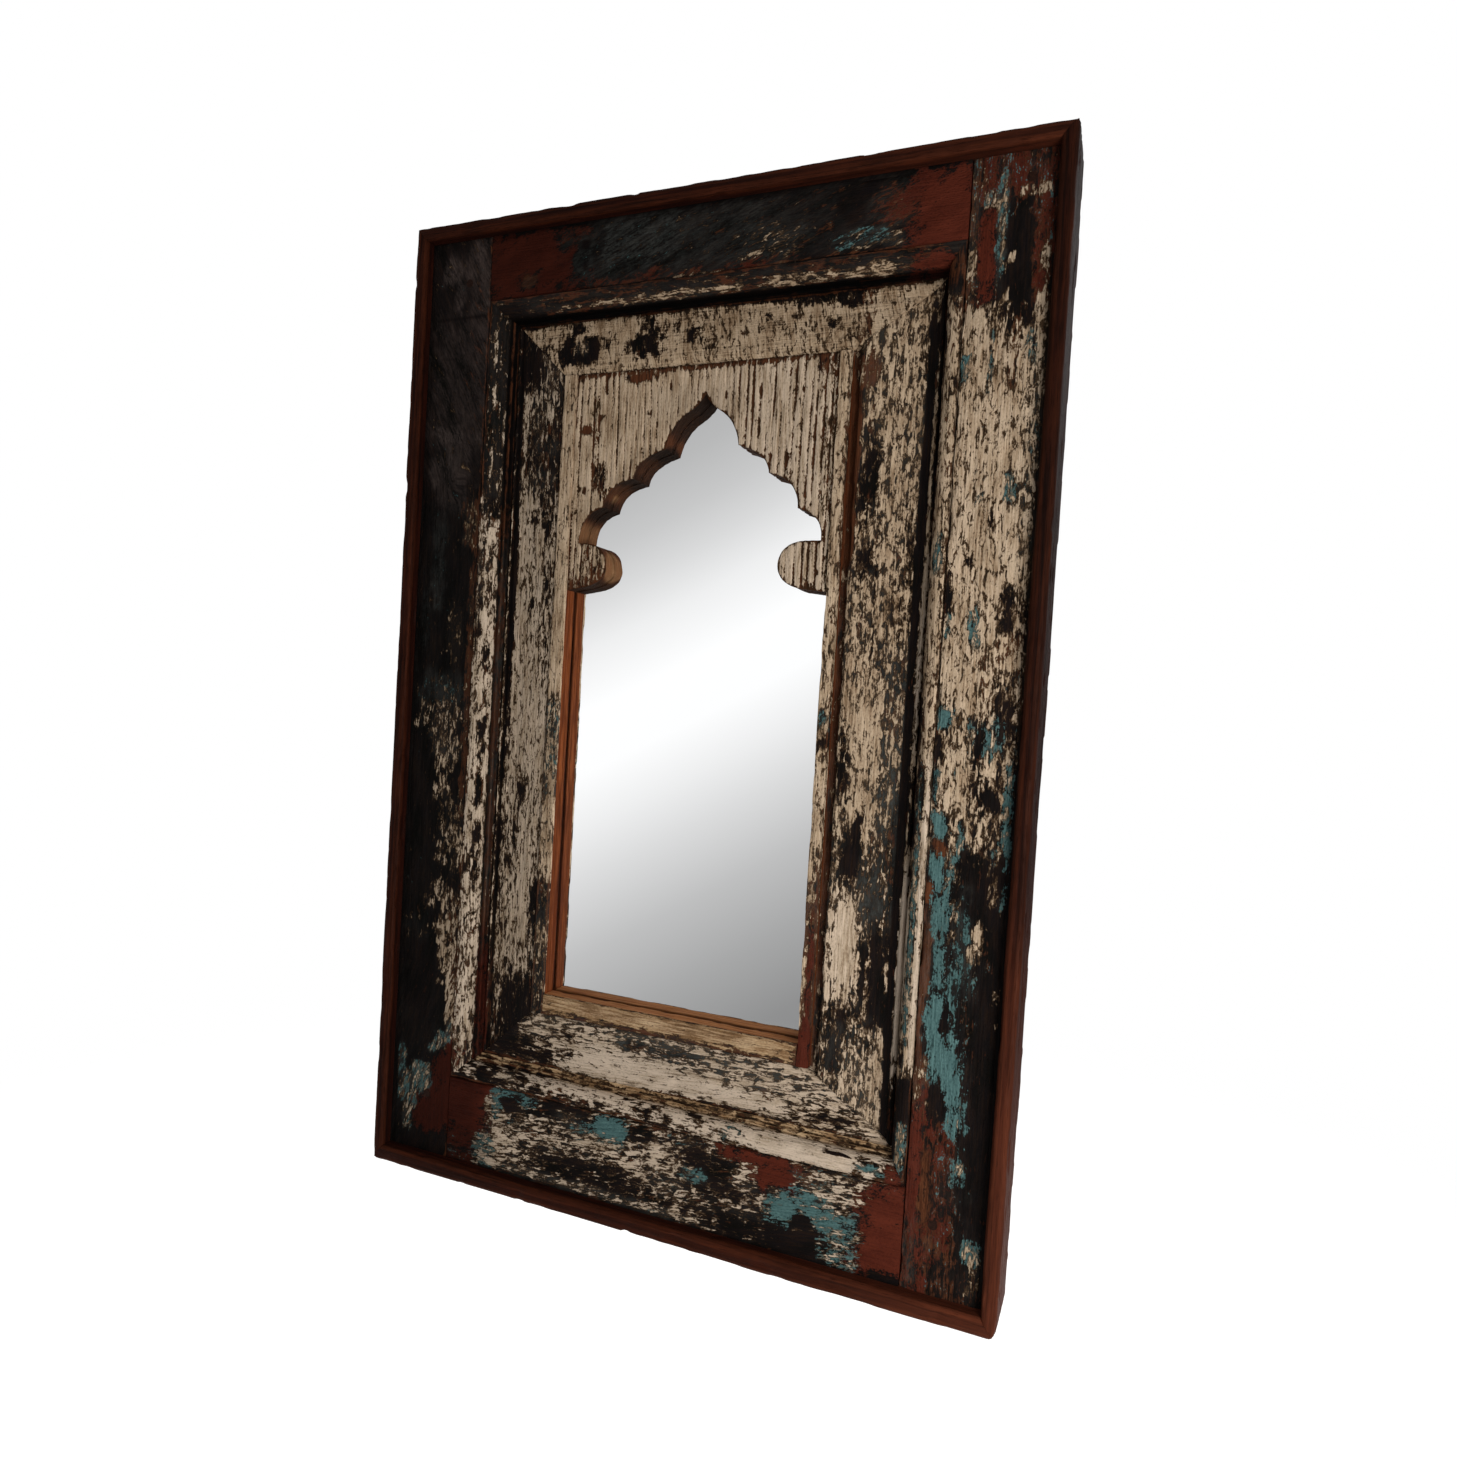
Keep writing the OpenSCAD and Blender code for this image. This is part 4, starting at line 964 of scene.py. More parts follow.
PLAN = {
    "stile_left": {
        # dim here is painted shade, heavier from the middle of the stile down
        "cream": 0.04, "teal": 0.03, "film": 0.12, "raw": 0.02, "age": [(0, .85), (430, .82), (480, .6), (1500, .55)], "dim": [(0, .05), (345, .15), (420, .5), (1500, .55)],
        "patches": [
            P(45, 150, 120, 345, film=0.75, teal=0.03), P(112, 60, 152, 345, film=0.9, raw=0.10),
            P(100, 60, 150, 112, film=1.2), P(62, 58, 98, 96, film=1.9, cream=0.06), P(108, 34, 138, 62, film=1.6), P(84, 98, 102, 145, film=1.3),
            P(118, 128, 150, 152, film=1.4, rough=0.8),
            P(55, 320, 112, 350, film=1.8, teal=0.03), P(58, 352, 108, 418, film=1.6, teal=0.03),
            P(104, 345, 125, 420, film=1.1, teal=0.04), P(70, 395, 122, 450, film=1.3, teal=0.06),
            P(62, 455, 90, 500, film=0.9, teal=0.05),
            P(118, 420, 150, 505, raw=0.4, film=0.6, cream=0.2), P(64, 480, 88, 600, film=1.0, teal=0.05),
            P(48, 580, 62, 660, film=0.9), P(100, 600, 130, 690, cream=0.14, film=0.25),
            P(136, 500, 150, 905, raw=0.6, film=0.35, cream=0.1, rough=0.8, soft=0.3),
            P(55, 700, 136, 756, film=1.1, teal=0.10, cream=0.10), P(70, 745, 140, 800, film=0.35, cream=0.28),
            cream(44, 775, 56, 790, 0.6), P(84, 798, 136, 832, cream=0.42, film=0.6), cream(92, 825, 122, 856, 0.5),
            cream(98, 855, 118, 893, 0.42), cream(86, 872, 100, 898, 0.42), P(104, 895, 150, 1000, cream=0.22, film=0.3),
            cream(106, 936, 132, 968, 0.4), cream(95, 962, 114, 980, 0.3), cream(95, 985, 120, 1004, 0.32),
            cream(138, 955, 152, 1000, 0.6), cream(98, 1025, 124, 1054, 0.36), cream(82, 1052, 102, 1078, 0.3),
            cream(112, 1040, 132, 1090, 0.45), P(130, 1040, 150, 1115, cream=0.4, raw=0.4),
            cream(104, 1094, 140, 1108, 0.8), cream(112, 1104, 130, 1160, 0.7, rough=0.7),
            cream(118, 1160, 135, 1180, 0.5), cream(114, 1183, 126, 1192, 0.7),
            P(132, 1110, 142, 1250, cream=0.75, raw=0.4), P(141, 1105, 150, 1262, cream=0.55, raw=0.6),
            P(44, 1085, 92, 1125, cream=0.10, film=0.35), P(40, 1195, 62, 1245, film=0.25),
            black(55, 1130, 108, 1255, 0.0, soft=0.4),
            # dim on these rows is painted shade on the lower left corner
            oxide(138, 1262, 170, 1310, dim=0.72), oxide(112, 1300, 170, 1345, dim=0.75), oxide(96, 1335, 180, 1425, rough=0.35, dim=0.78),
            oxide(78, 1372, 120, 1430, 0.9, dim=0.8), teal(134, 1246, 148, 1276, 0.6, 0.4, film=1.0, dim=0.1), teal(116, 1264, 136, 1292, 0.6, 0.35, film=1.0, dim=0.1),
            teal(100, 1286, 118, 1304, 0.6, 0.25, film=1.0, dim=0.15), teal(72, 1322, 108, 1364, 0.72, 0.28, film=1.2, dim=0.1, rough=0.6),
            teal(52, 1340, 88, 1390, 0.5, 0.25, film=1.2, dim=0.2), P(44, 1296, 60, 1345, teal=0.4, cream=0.12, film=1.0, dim=0.3),
            P(60, 1382, 78, 1430, teal=0.3, cream=0.35, film=0.8, dim=0.35), black(30, 1432, 160, 1480, 0.02),
            black(52, 147, 152, 154, 0.0, rough=0.3),
        ],
    },
    "stile_right": {
        "cream": [(0, .05), (205, .10), (240, .88), (450, .88), (520, .85), (690, .84), (760, .60), (860, .42), (930, .12), (1050, .06), (1250, .02), (1500, .0)],
        "age": 0.42,
        "teal": [(0, .12), (240, .08), (700, .10), (1200, .14), (1500, .05)], "raw": 0.12, "film": 0.15,
        "patches": [
            P(860, 28, 884, 205, raw=0.5, film=0.5, cream=0.16), oxide(882, 90, 906, 212, 0.85),
            P(884, 25, 975, 92, oxide=0.55, raw=0.6, film=0.25), P(946, 30, 972, 215, oxide=0.6, raw=0.6),
            black(912, 92, 948, 238, 0.02, rough=0.3), teal(903, 66, 914, 192, 0.45, 0.2, film=0.9),
            P(888, 70, 912, 96, teal=0.4, cream=0.35, film=0.7), cream(930, 74, 944, 88, 0.7), cream(950, 72, 964, 86, 0.7),
            cream(957, 150, 968, 180, 0.85), cream(914, 196, 922, 214, 0.8), cream(918, 150, 926, 168, 0.6),
            P(868, 150, 882, 178, cream=0.7), P(868, 212, 900, 245, cream=0.8), black(900, 212, 922, 236, 0.3),
            black(922, 215, 952, 248, 0.1), cream(956, 205, 970, 262, 0.85),
            teal(866, 272, 882, 312, 0.85, 0.25), teal(903, 256, 909, 312, 0.8, 0.2), teal(944, 250, 962, 282, 0.6, 0.4),
            P(925, 250, 942, 330, raw=0.6, cream=0.62), P(950, 290, 972, 520, film=0.7, cream=0.58, teal=0.2),
            teal(932, 418, 946, 460, 0.7, 0.3), teal(899, 428, 908, 462, 0.5, 0.5),
            black(866, 548, 877, 612, 0.05), black(915, 460, 922, 500, 0.4), black(892, 525, 902, 536, 0.2),
            black(936, 552, 958, 632, 0.12), black(956, 560, 972, 640, 0.45), P(934, 622, 962, 662, cream=0.7, raw=0.9),
            P(936, 660, 972, 690, cream=0.5), black(938, 682, 966, 766, 0.08),
            teal(900, 590, 914, 640, 0.85, 0.25, rough=0.7), teal(868, 600, 878, 625, 0.6, 0.4),
            P(915, 640, 935, 730, cream=0.72, raw=0.4), teal(868, 714, 888, 744, 1.0, 0.0, rough=0.35),
            black(866, 740, 884, 786, 0.02), P(914, 726, 948, 784, teal=0.6, cream=0.1, film=0.2),
            black(914, 745, 930, 800, 0.05), cream(930, 770, 948, 800, 0.8), teal(934, 725, 942, 775, 0.7, 0.3),
            cream(878, 752, 914, 862, 0.83, rough=0.3), teal(867, 784, 877, 852, 0.85, 0.2),
            black(914, 795, 964, 860, 0.3), black(930, 815, 952, 842, 0.0), teal(955, 790, 972, 955, 0.85, 0.12),
            P(914, 840, 955, 895, cream=0.45, teal=0.1), teal(874, 850, 892, 882, 0.95, 0.0),
            P(903, 855, 914, 900, teal=0.65, cream=0.3), bare(876, 880, 892, 904, 0.95), cream(892, 862, 904, 888, 0.6),
            # dim in the rows below is painted shade
            black(906, 896, 962, 1000, 0.03, soft=0.3, dim=0.16), teal(873, 902, 892, 942, 1.0, 0.0),
            P(890, 902, 908, 945, teal=0.35, cream=0.25), bare(865, 930, 879, 960, 0.95), P(865, 980, 884, 1090, raw=0.95, film=0.9, cream=0.06, teal=0.0, oxide=0.0),
            teal(878, 940, 899, 1000, 0.85, 0.06, dim=0.14), teal(883, 990, 898, 1072, 0.86, 0.04, dim=0.16), cream(903, 955, 916, 1000, 0.75),
            P(908, 955, 932, 1075, teal=0.24, cream=0.06, film=0.9, dim=0.3, soft=0.4), cream(930, 984, 944, 1014, 0.85), cream(924, 1010, 936, 1032, 0.85),
            cream(946, 915, 956, 955, 0.4), P(902, 1040, 918, 1075, teal=0.4, cream=0.05, film=0.5, dim=0.2), P(864, 1085, 877, 1185, raw=0.95, film=0.9, cream=0.05, teal=0.0, oxide=0.0),
            teal(880, 1072, 912, 1150, 1.0, 0.0, rough=0.35), teal(886, 1140, 926, 1188, 1.0, 0.0, rough=0.4),
            black(898, 1085, 908, 1128, 0.05), teal(906, 1180, 926, 1222, 0.95, 0.0), teal(914, 1204, 938, 1250, 0.8, 0.08),
            P(866, 1165, 888, 1215, raw=0.9, film=0.7, cream=0.25), cream(874, 1206, 890, 1256, 0.5, rough=0.7),
            black(888, 1190, 908, 1250, 0.05), P(862, 1225, 896, 1460, oxide=0.9, raw=0.4, cream=0.0, teal=0.0),
            bare(885, 1268, 903, 1400, 0.8, soft=0.4), P(900, 1255, 926, 1400, oxide=0.45, raw=0.55, film=0.15),
            P(866, 1375, 888, 1460, film=0.75, raw=0.5, oxide=0.3), P(893, 1385, 922, 1415, raw=0.6, film=0.4),
            teal(925, 1283, 945, 1312, 0.8, 0.25), P(928, 1262, 940, 1282, teal=0.35), P(942, 1318, 952, 1334, teal=0.3, film=0.5),
            black(950, 1000, 975, 1180, 0.05), cream(960, 1060, 970, 1082, 0.5), cream(958, 1100, 972, 1110, 0.5),
            teal(963, 1182, 974, 1212, 0.6, 0.5), black(938, 1030, 976, 1376, 0.0, dim=0.3),
            teal(944, 1380, 968, 1408, 0.9, 0.35, rough=0.2), P(950, 1410, 968, 1450, film=0.5, cream=0.25),
            P(895, 1400, 950, 1465, raw=0.25, film=0.1, cream=0.0),
        ],
    },
    "rail_top": {
        # dim: painted shade, darker towards the left end
        "cream": 0.04, "teal": 0.03, "raw": 0.06, "film": 0.3, "dim": lambda cx, cy: np.interp(cx, [0, 300, 345, 800], [0.66, 0.62, 0.22, 0.0]),
        "patches": [
            P(300, 28, 470, 125, teal=0.05, film=1.35, raw=0.0), P(470, 40, 620, 125, teal=0.03, film=0.75, cream=0.06),
            P(620, 30, 720, 100, film=0.3, raw=0.1), black(700, 40, 760, 95, 0.02), P(740, 55, 800, 100, raw=0.4, film=0.4, oxide=0.3),
            oxide(130, 20, 298, 160, rough=0.3), oxide(240, 100, 330, 150, 0.85), P(262, 36, 330, 60, oxide=0.5, film=0.4, raw=0.4),
            P(292, 62, 322, 112, film=1.4, teal=0.08, oxide=0.0), black(306, 60, 322, 72, 0.0), black(310, 88, 320, 104, 0.0),
            P(272, 50, 296, 70, film=0.8, oxide=0.3), P(204, 94, 236, 120, raw=1.0, oxide=0.0, film=0.6, rough=0.8),
            P(330, 100, 400, 122, film=0.75), P(330, 30, 345, 112, film=0.5),
            P(560, 78, 650, 122, cream=0.12, film=0.8), cream(600, 78, 650, 104, 0.16), cream(566, 108, 590, 120, 0.6),
            P(696, 100, 770, 122, teal=0.22, film=0.8, cream=0.10), cream(704, 116, 760, 126, 0.3), P(768, 108, 790, 128, cream=0.25, film=0.7),
            P(300, 118, 640, 152, oxide=0.26, raw=0.3, film=0.3, teal=0.0, cream=0.04),
            P(440, 128, 535, 136, cream=0.62, rough=0.6), P(610, 128, 640, 136, cream=0.35), P(500, 135, 545, 142, cream=0.4),
            black(640, 124, 775, 140, 0.03), P(640, 136, 800, 152, raw=0.3, cream=0.12),
            oxide(796, 20, 890, 190, 0.97, rough=0.3), P(768, 56, 800, 100, oxide=0.6, raw=0.7), P(780, 128, 815, 155, oxide=0.8),
            # black band under the top lipping: painted shadow
            black(150, 20, 870, 36, 0.0, soft=0.4),
        ],
    },
    "rail_bottom": {
        "cream": 0.32, "teal": 0.12, "raw": 0.15, "film": 0.2, "age": 0.1,
        # dim: painted shade, darker at the left end
        "dim": lambda cx, cy: np.interp(cx, [0, 190, 240], [0.78, 0.70, 0.0]),
        "patches": [
            oxide(110, 1315, 226, 1428, rough=0.3), oxide(200, 1326, 240, 1352, 0.9), P(110, 1412, 205, 1466, oxide=0.6, raw=0.3, cream=0.0),
            P(216, 1352, 232, 1372, cream=0.7, raw=0.9), teal(226, 1340, 246, 1378, 0.95, 0.25), teal(240, 1328, 300, 1345, 0.9, 0.1),
            teal(280, 1336, 310, 1352, 0.9, 0.1), black(243, 1339, 280, 1366, 0.0, rough=0.3),
            black(282, 1350, 345, 1378, 0.3), black(300, 1330, 408, 1360, 0.05), P(345, 1345, 405, 1372, film=0.5, cream=0.2),
            teal(408, 1334, 464, 1374, 1.0, 0.0, rough=0.4), teal(370, 1352, 412, 1370, 0.5, 0.1),
            cream(232, 1370, 262, 1450, 0.86, rough=0.4), cream(255, 1380, 340, 1404, 0.5), cream(262, 1400, 292, 1440, 0.55),
            teal(200, 1408, 236, 1462, 0.85, 0.45, rough=0.5), cream(340, 1366, 520, 1398, 0.55), cream(400, 1372, 450, 1400, 0.72),
            cream(448, 1390, 500, 1420, 0.7), cream(505, 1352, 540, 1400, 0.85), P(300, 1396, 460, 1418, cream=0.4),
            black(296, 1412, 500, 1448, 0.12, rough=0.4), black(430, 1400, 450, 1440, 0.2), black(360, 1405, 500, 1445, 0.12),
            black(500, 1425, 580, 1446, 0.12), P(500, 1400, 590, 1428, cream=0.35, film=0.5), black(468, 1336, 512, 1362, 0.1),
            P(250, 1444, 590, 1462, cream=0.4, film=0.75), cream(540, 1436, 590, 1460, 0.5),
            black(540, 1350, 640, 1408, 0.1), P(556, 1378, 594, 1398, teal=0.55, film=0.6), cream(640, 1345, 655, 1395, 0.35),
            black(590, 1405, 700, 1462, 0.06), P(600, 1408, 680, 1430, cream=0.25, film=0.3),
            oxide(606, 1332, 730, 1350, 0.95), oxide(660, 1345, 720, 1378, 0.9), P(630, 1350, 665, 1392, cream=0.45, film=0.4),
            P(715, 1340, 760, 1362, raw=0.6, film=0.5, teal=0.2), P(735, 1352, 800, 1385, cream=0.6, film=0.5, teal=0.2),
            teal(712, 1366, 760, 1400, 0.85, 0.1), teal(684, 1382, 724, 1420, 0.95, 0.05), teal(748, 1384, 806, 1420, 0.95, 0.12),
            black(722, 1400, 742, 1420, 0.03), black(690, 1418, 772, 1462, 0.03), teal(768, 1412, 822, 1462, 0.8, 0.35),
            black(776, 1378, 796, 1390, 0.3), oxide(806, 1322, 905, 1485, 0.97, rough=0.3), cream(800, 1345, 812, 1372, 0.5),
            black(820, 1448, 868, 1470, 0.0),
        ],
    },
    "bead_left": {
        "cream": [(0, .10), (420, .12), (470, .45), (560, .46), (600, .56), (700, .68), (1240, .66), (1300, .45), (1500, .3)],
        "age": 0.05, "raw": [(0, .06), (430, .1), (480, .25), (1500, .25)], "film": [(0, .25), (450, .3), (1500, .15)],
        "patches": [
            P(148, 1000, 190, 1262, cream=0.70, film=0.35),
            cream(161, 180, 169, 218, 0.65), cream(162, 262, 170, 292, 0.7), cream(163, 350, 169, 392, 0.6),
            P(184, 305, 190, 352, cream=0.6, film=0.5), cream(186, 362, 195, 412, 0.75), cream(150, 425, 156, 440, 0.8),
            cream(163, 468, 179, 498, 0.92), cream(151, 470, 157, 505, 0.8), black(165, 430, 185, 462, 0.1),
            cream(166, 545, 182, 565, 0.8), black(152, 585, 170, 600, 0.2), cream(160, 598, 184, 646, 0.92, rough=0.4),
            black(152, 625, 166, 648, 0.1), black(166, 655, 182, 690, 0.08), black(169, 770, 182, 802, 0.05),
            black(170, 812, 180, 838, 0.15), black(168, 852, 181, 902, 0.05), black(168, 925, 182, 962, 0.05),
            black(150, 985, 160, 1015, 0.1), black(164, 975, 184, 1035, 0.3), cream(168, 900, 190, 932, 0.88),
            cream(150, 700, 164, 960, 0.85, rough=0.3), cream(183, 575, 191, 1110, 0.83, rough=0.3),
            cream(152, 1028, 188, 1075, 0.8), black(160, 1070, 182, 1095, 0.3), P(166, 1110, 190, 1200, cream=0.74, film=0.4),
            cream(148, 1188, 170, 1262, 0.72), cream(170, 1255, 184, 1280, 0.5), P(150, 1285, 190, 1335, cream=0.35, oxide=0.5),
            P(191, 480, 204, 1300, raw=0.75, cream=0.24, film=1.2, rough=0.4, soft=0.3), black(190, 150, 208, 480, 0.08, rough=0.15),
            # dim in this row is painted shade
            P(188, 1110, 213, 1290, raw=0.3, oxide=0.85, cream=0.0, film=0.1, dim=0.25, rough=0.35),
        ],
    },
    "bead_right": {
        "cream": [(0, .05), (190, .12), (215, .5), (280, .82), (500, .76), (690, .76), (790, .65), (890, .9), (1180, .85), (1200, .05), (1500, .05)],
        "raw": 0.2, "film": 0.25, "teal": 0.05,
        "patches": [
            bare(830, 150, 868, 186, 0.6), cream(836, 180, 841, 236, 0.83), cream(851, 205, 861, 268, 0.85), black(838, 215, 850, 285, 0.05),
            black(843, 290, 849, 470, 0.15, rough=0.3), teal(852, 498, 862, 540, 0.8, 0.3), black(858, 300, 866, 320, 0.4),
            black(838, 690, 850, 770, 0.08), cream(838, 780, 848, 800, 0.8), black(838, 800, 850, 855, 0.3),
            black(850, 788, 859, 852, 0.05), cream(859, 780, 868, 1188, 0.94, rough=0.15, age=0.05), teal(850, 850, 858, 1180, 0.85, 0.25, rough=0.15, film=1.2),
            black(841, 852, 850, 892, 0.1), cream(839, 890, 848, 925, 0.88), black(846, 915, 851, 960, 0.1),
            # the cream on the step from 838 to 849 is made extra light: painted light that offsets the shade it lies in
            cream(838, 955, 849, 1150, 0.96, rough=0.2, age=-0.6, film=0.0), black(846, 1140, 854, 1190, 0.3), cream(842, 1150, 848, 1215, 0.8),
            cream(858, 1180, 866, 1196, 0.8), black(850, 1192, 868, 1252, 0.0), teal(852, 1250, 864, 1306, 1.0, 0.55, rough=0.3),
            black(838, 1215, 850, 1320, 0.03),
        ],
    },
    "bead_top": {
        "cream": 0.08, "raw": 0.25, "oxide": 0.1, "film": 0.35,
        # dim: painted shade along the lower edge of the bead
        "dim": lambda cx, cy: 0.9 * smooth(160, 165, cy),
        "patches": [
            cream(300, 149, 560, 158, 0.5, rough=0.5, soft=0.3), cream(620, 149, 800, 160, 0.5, rough=0.5, soft=0.3),
            P(395, 148, 560, 161, cream=0.42, film=0.5), cream(556, 148, 566, 162, 0.83), P(600, 146, 690, 162, cream=0.4, film=0.3),
            cream(722, 150, 736, 163, 0.85), cream(738, 142, 772, 164, 0.75), P(780, 150, 830, 165, cream=0.25),
            # the long black bands are a painted shadow in the groove below the bead
            black(180, 158, 260, 172, 0.0), black(150, 162, 850, 176, 0.02, rough=0.2), oxide(806, 140, 870, 178, 0.85),
            black(150, 140, 205, 172, 0.08),
        ],
    },
    "bead_bottom": {
        "cream": [(0, .8), (1322, .8), (1326, .62), (1500, .55)], "raw": 0.2, "film": 0.1, "age": [(0, 1.2), (1296, 1.0), (1302, -0.5), (1500, -0.5)],
        "patches": [
            black(150, 1296, 312, 1340, 0.10), P(228, 1306, 268, 1318, cream=0.7, film=0.6), cream(176, 1310, 186, 1324, 0.7),
            P(300, 1322, 620, 1340, cream=0.38), cream(312, 1298, 462, 1321, 0.86, rough=0.4), black(455, 1300, 480, 1306, 0.3),
            black(478, 1304, 532, 1332, 0.3), cream(530, 1300, 600, 1322, 0.86), black(552, 1300, 586, 1306, 0.1),
            cream(560, 1308, 600, 1320, 0.7), teal(604, 1298, 642, 1326, 0.85, 0.5), cream(586, 1296, 632, 1308, 0.8),
            cream(640, 1300, 842, 1338, 0.975, rough=0.15), black(757, 1306, 790, 1312, 0.05, rough=0.3), black(800, 1306, 832, 1314, 0.15),
            teal(800, 1314, 840, 1327, 0.8, 0.3), P(340, 1318, 420, 1326, cream=0.3), oxide(620, 1334, 800, 1342, 0.9),
            P(840, 1310, 868, 1345, oxide=0.8, cream=0.1),
        ],
    },
    "inner_left": {
        "cream": [(0, .16), (425, .16), (455, .64), (560, .72), (700, .82), (850, .80), (1090, .72), (1150, .2), (1500, .08)],
        "raw": 0.12, "film": 0.05, "age": 0.2,
        "patches": [
            cream(222, 262, 231, 358, 0.92, rough=0.3), P(232, 285, 262, 345, cream=0.28, film=0.3), cream(262, 285, 276, 330, 0.6),
            P(244, 225, 290, 300, cream=0.36, film=0.3), black(212, 205, 250, 262, 0.05), P(250, 345, 285, 372, film=0.6, cream=0.15),
            cream(210, 372, 216, 384, 0.83), cream(221, 385, 228, 398, 0.8), P(232, 385, 280, 425, cream=0.2, film=0.5),
            cream(220, 425, 250, 448, 0.82), black(262, 435, 285, 470, 0.25), cream(222, 448, 248, 560, 0.86),
            black(248, 455, 256, 500, 0.3), cream(254, 468, 268, 530, 0.85), black(268, 462, 280, 500, 0.1), black(272, 500, 286, 560, 0.45),
            black(247, 575, 258, 606, 0.05), black(272, 552, 286, 600, 0.25), cream(256, 540, 272, 600, 0.88),
            cream(226, 560, 248, 720, 0.85, rough=0.3), cream(252, 605, 264, 700, 0.83), black(266, 600, 286, 700, 0.52),
            black(214, 430, 224, 735, 0.06, rough=0.3), cream(203, 470, 212, 900, 0.6, rough=0.6, soft=0.3), cream(226, 700, 284, 842, 0.88, rough=0.3), black(212, 430, 222, 815, 0.02, rough=0.3, soft=0.3),
            black(214, 738, 226, 812, 0.3), cream(207, 735, 216, 830, 0.7), black(205, 812, 225, 870, 0.35), black(240, 845, 262, 905, 0.12),
            cream(206, 868, 238, 905, 0.8), black(205, 902, 238, 990, 0.35), black(240, 900, 250, 1000, 0.3),
            cream(252, 918, 276, 1150, 0.92, rough=0.35), P(205, 985, 240, 1120, cream=0.6), black(214, 1010, 226, 1040, 0.2),
            cream(240, 1000, 255, 1100, 0.75), cream(216, 1095, 275, 1150, 0.7), black(276, 985, 300, 1160, 0.08, rough=0.3),
            P(280, 1062, 300, 1135, cream=0.45, film=0.3), cream(224, 1176, 234, 1196, 0.88), cream(222, 1200, 230, 1210, 0.7),
            # dim in this row is painted shade
            P(200, 1120, 211, 1285, raw=0.3, oxide=0.85, cream=0.0, film=0.1, dim=0.25, rough=0.3), P(210, 1130, 217, 1235, cream=0.5, film=0.5, raw=0.5),
            black(236, 1160, 290, 1290, 0.06, rough=0.3),
        ],
    },
    "inner_right": {
        "cream": lambda cx, cy: np.where(cx > 838.5, np.interp(cy, *STRIP_R), np.interp(cy, *FACE_R)),
        "raw": 0.12, "film": 0.6, "age": [(0, .54), (900, .48), (960, .35), (1500, .35)],
        # dim: painted shade varying down the member
        "dim": [(0, .14), (680, .14), (740, .18), (900, .18), (960, .04), (1150, .04), (1180, .12), (1500, .12)],
        "patches": [
            P(742, 258, 764, 312, raw=0.95, cream=0.15), P(744, 312, 764, 380, cream=0.5, raw=0.4), black(748, 372, 776, 462, 0.08),
            P(776, 380, 800, 470, cream=0.7), black(748, 462, 764, 500, 0.35), cream(762, 470, 770, 560, 0.8), black(752, 505, 774, 560, 0.15),
            P(745, 560, 785, 640, cream=0.62), black(776, 500, 780, 700, 0.35, rough=0.3), black(818, 250, 832, 290, 0.3),
            black(792, 222, 802, 246, 0.45), black(758, 195, 778, 230, 0.4), black(820, 182, 830, 250, 0.45),
            black(806, 455, 822, 485, 0.45), black(815, 495, 832, 560, 0.3), black(800, 560, 835, 640, 0.55),
            P(784, 640, 796, 690, cream=0.3, film=0.7), P(798, 640, 836, 720, cream=0.3, film=1.0), P(800, 700, 836, 760, cream=0.42, film=1.3, raw=0.5),
            cream(745, 690, 800, 860, 0.88, rough=0.3), black(744, 745, 752, 790, 0.2), P(752, 752, 764, 780, cream=0.75),
            black(744, 782, 760, 848, 0.1), P(796, 760, 836, 880, cream=0.36, film=1.6), P(818, 820, 838, 1000, cream=0.10, film=0.9),
            black(766, 855, 784, 900, 0.05), black(754, 885, 782, 962, 0.04, rough=0.4), cream(782, 855, 800, 905, 0.85),
            P(785, 900, 815, 1000, cream=0.14, film=1.4, dim=0.1), black(788, 1000, 838, 1156, 0.05), P(748, 962, 784, 1108, cream=0.99, age=0.15, film=0.6, rough=0.2),
            cream(742, 960, 752, 1140, 0.8), cream(824, 1030, 832, 1085, 0.85), cream(796, 1035, 803, 1120, 0.42),
            black(748, 1110, 788, 1160, 0.12), P(748, 1140, 777, 1218, cream=0.12, film=0.5), P(772, 1160, 818, 1290, cream=0.62, film=1.3),
            # black in the groove beside the bead: painted shadow
            cream(812, 1150, 832, 1250, 0.8), black(830, 1190, 838, 1300, 0.0),
            P(725, 258, 747, 560, raw=0.92, cream=0.06, film=0.0, rough=0.3, soft=0.3), P(725, 560, 741, 1200, raw=0.9, cream=0.12, rough=0.3, soft=0.3),
            # black groove along the right: painted shadow
            black(827, 160, 839, 1290, 0.0, rough=0.15, soft=0.2),
        ],
    },
    "inner_top": {
        "cream": 0.90, "raw": 0.15, "film": 0.10, "age": 0.56,
        "patches": [
            # black along the upper edge is painted shadow from the bead above
            black(200, 168, 248, 184, 0.1), cream(212, 184, 250, 200, 0.85), cream(250, 174, 296, 206, 0.85), black(203, 196, 234, 262, 0.04, soft=0.3),
            black(224, 210, 256, 258, 0.08, soft=0.3), cream(232, 205, 246, 224, 0.8), black(246, 208, 268, 220, 0.2), black(284, 202, 346, 250, 0.03, soft=0.25, rough=0.9),
            black(266, 218, 302, 242, 0.05, soft=0.3), P(306, 205, 325, 225, cream=0.4, film=0.7), black(296, 178, 318, 196, 0.12),
            cream(250, 222, 282, 258, 0.7), cream(300, 240, 420, 258, 0.85), black(350, 206, 368, 222, 0.4), black(396, 196, 444, 240, 0.08, soft=0.25, rough=0.9),
            black(414, 176, 440, 202, 0.2), black(466, 188, 476, 206, 0.2), black(486, 196, 512, 220, 0.06, soft=0.3), black(500, 218, 556, 234, 0.35),
            black(442, 200, 452, 216, 0.4), P(450, 175, 560, 200, cream=0.7), cream(520, 205, 745, 256, 0.84, rough=0.2),
            black(604, 196, 612, 206, 0.2), black(640, 200, 652, 208, 0.35), black(694, 210, 702, 222, 0.05), black(722, 222, 738, 240, 0.5),
            # the black bands on this line are painted shadow in the groove and on the top of the member
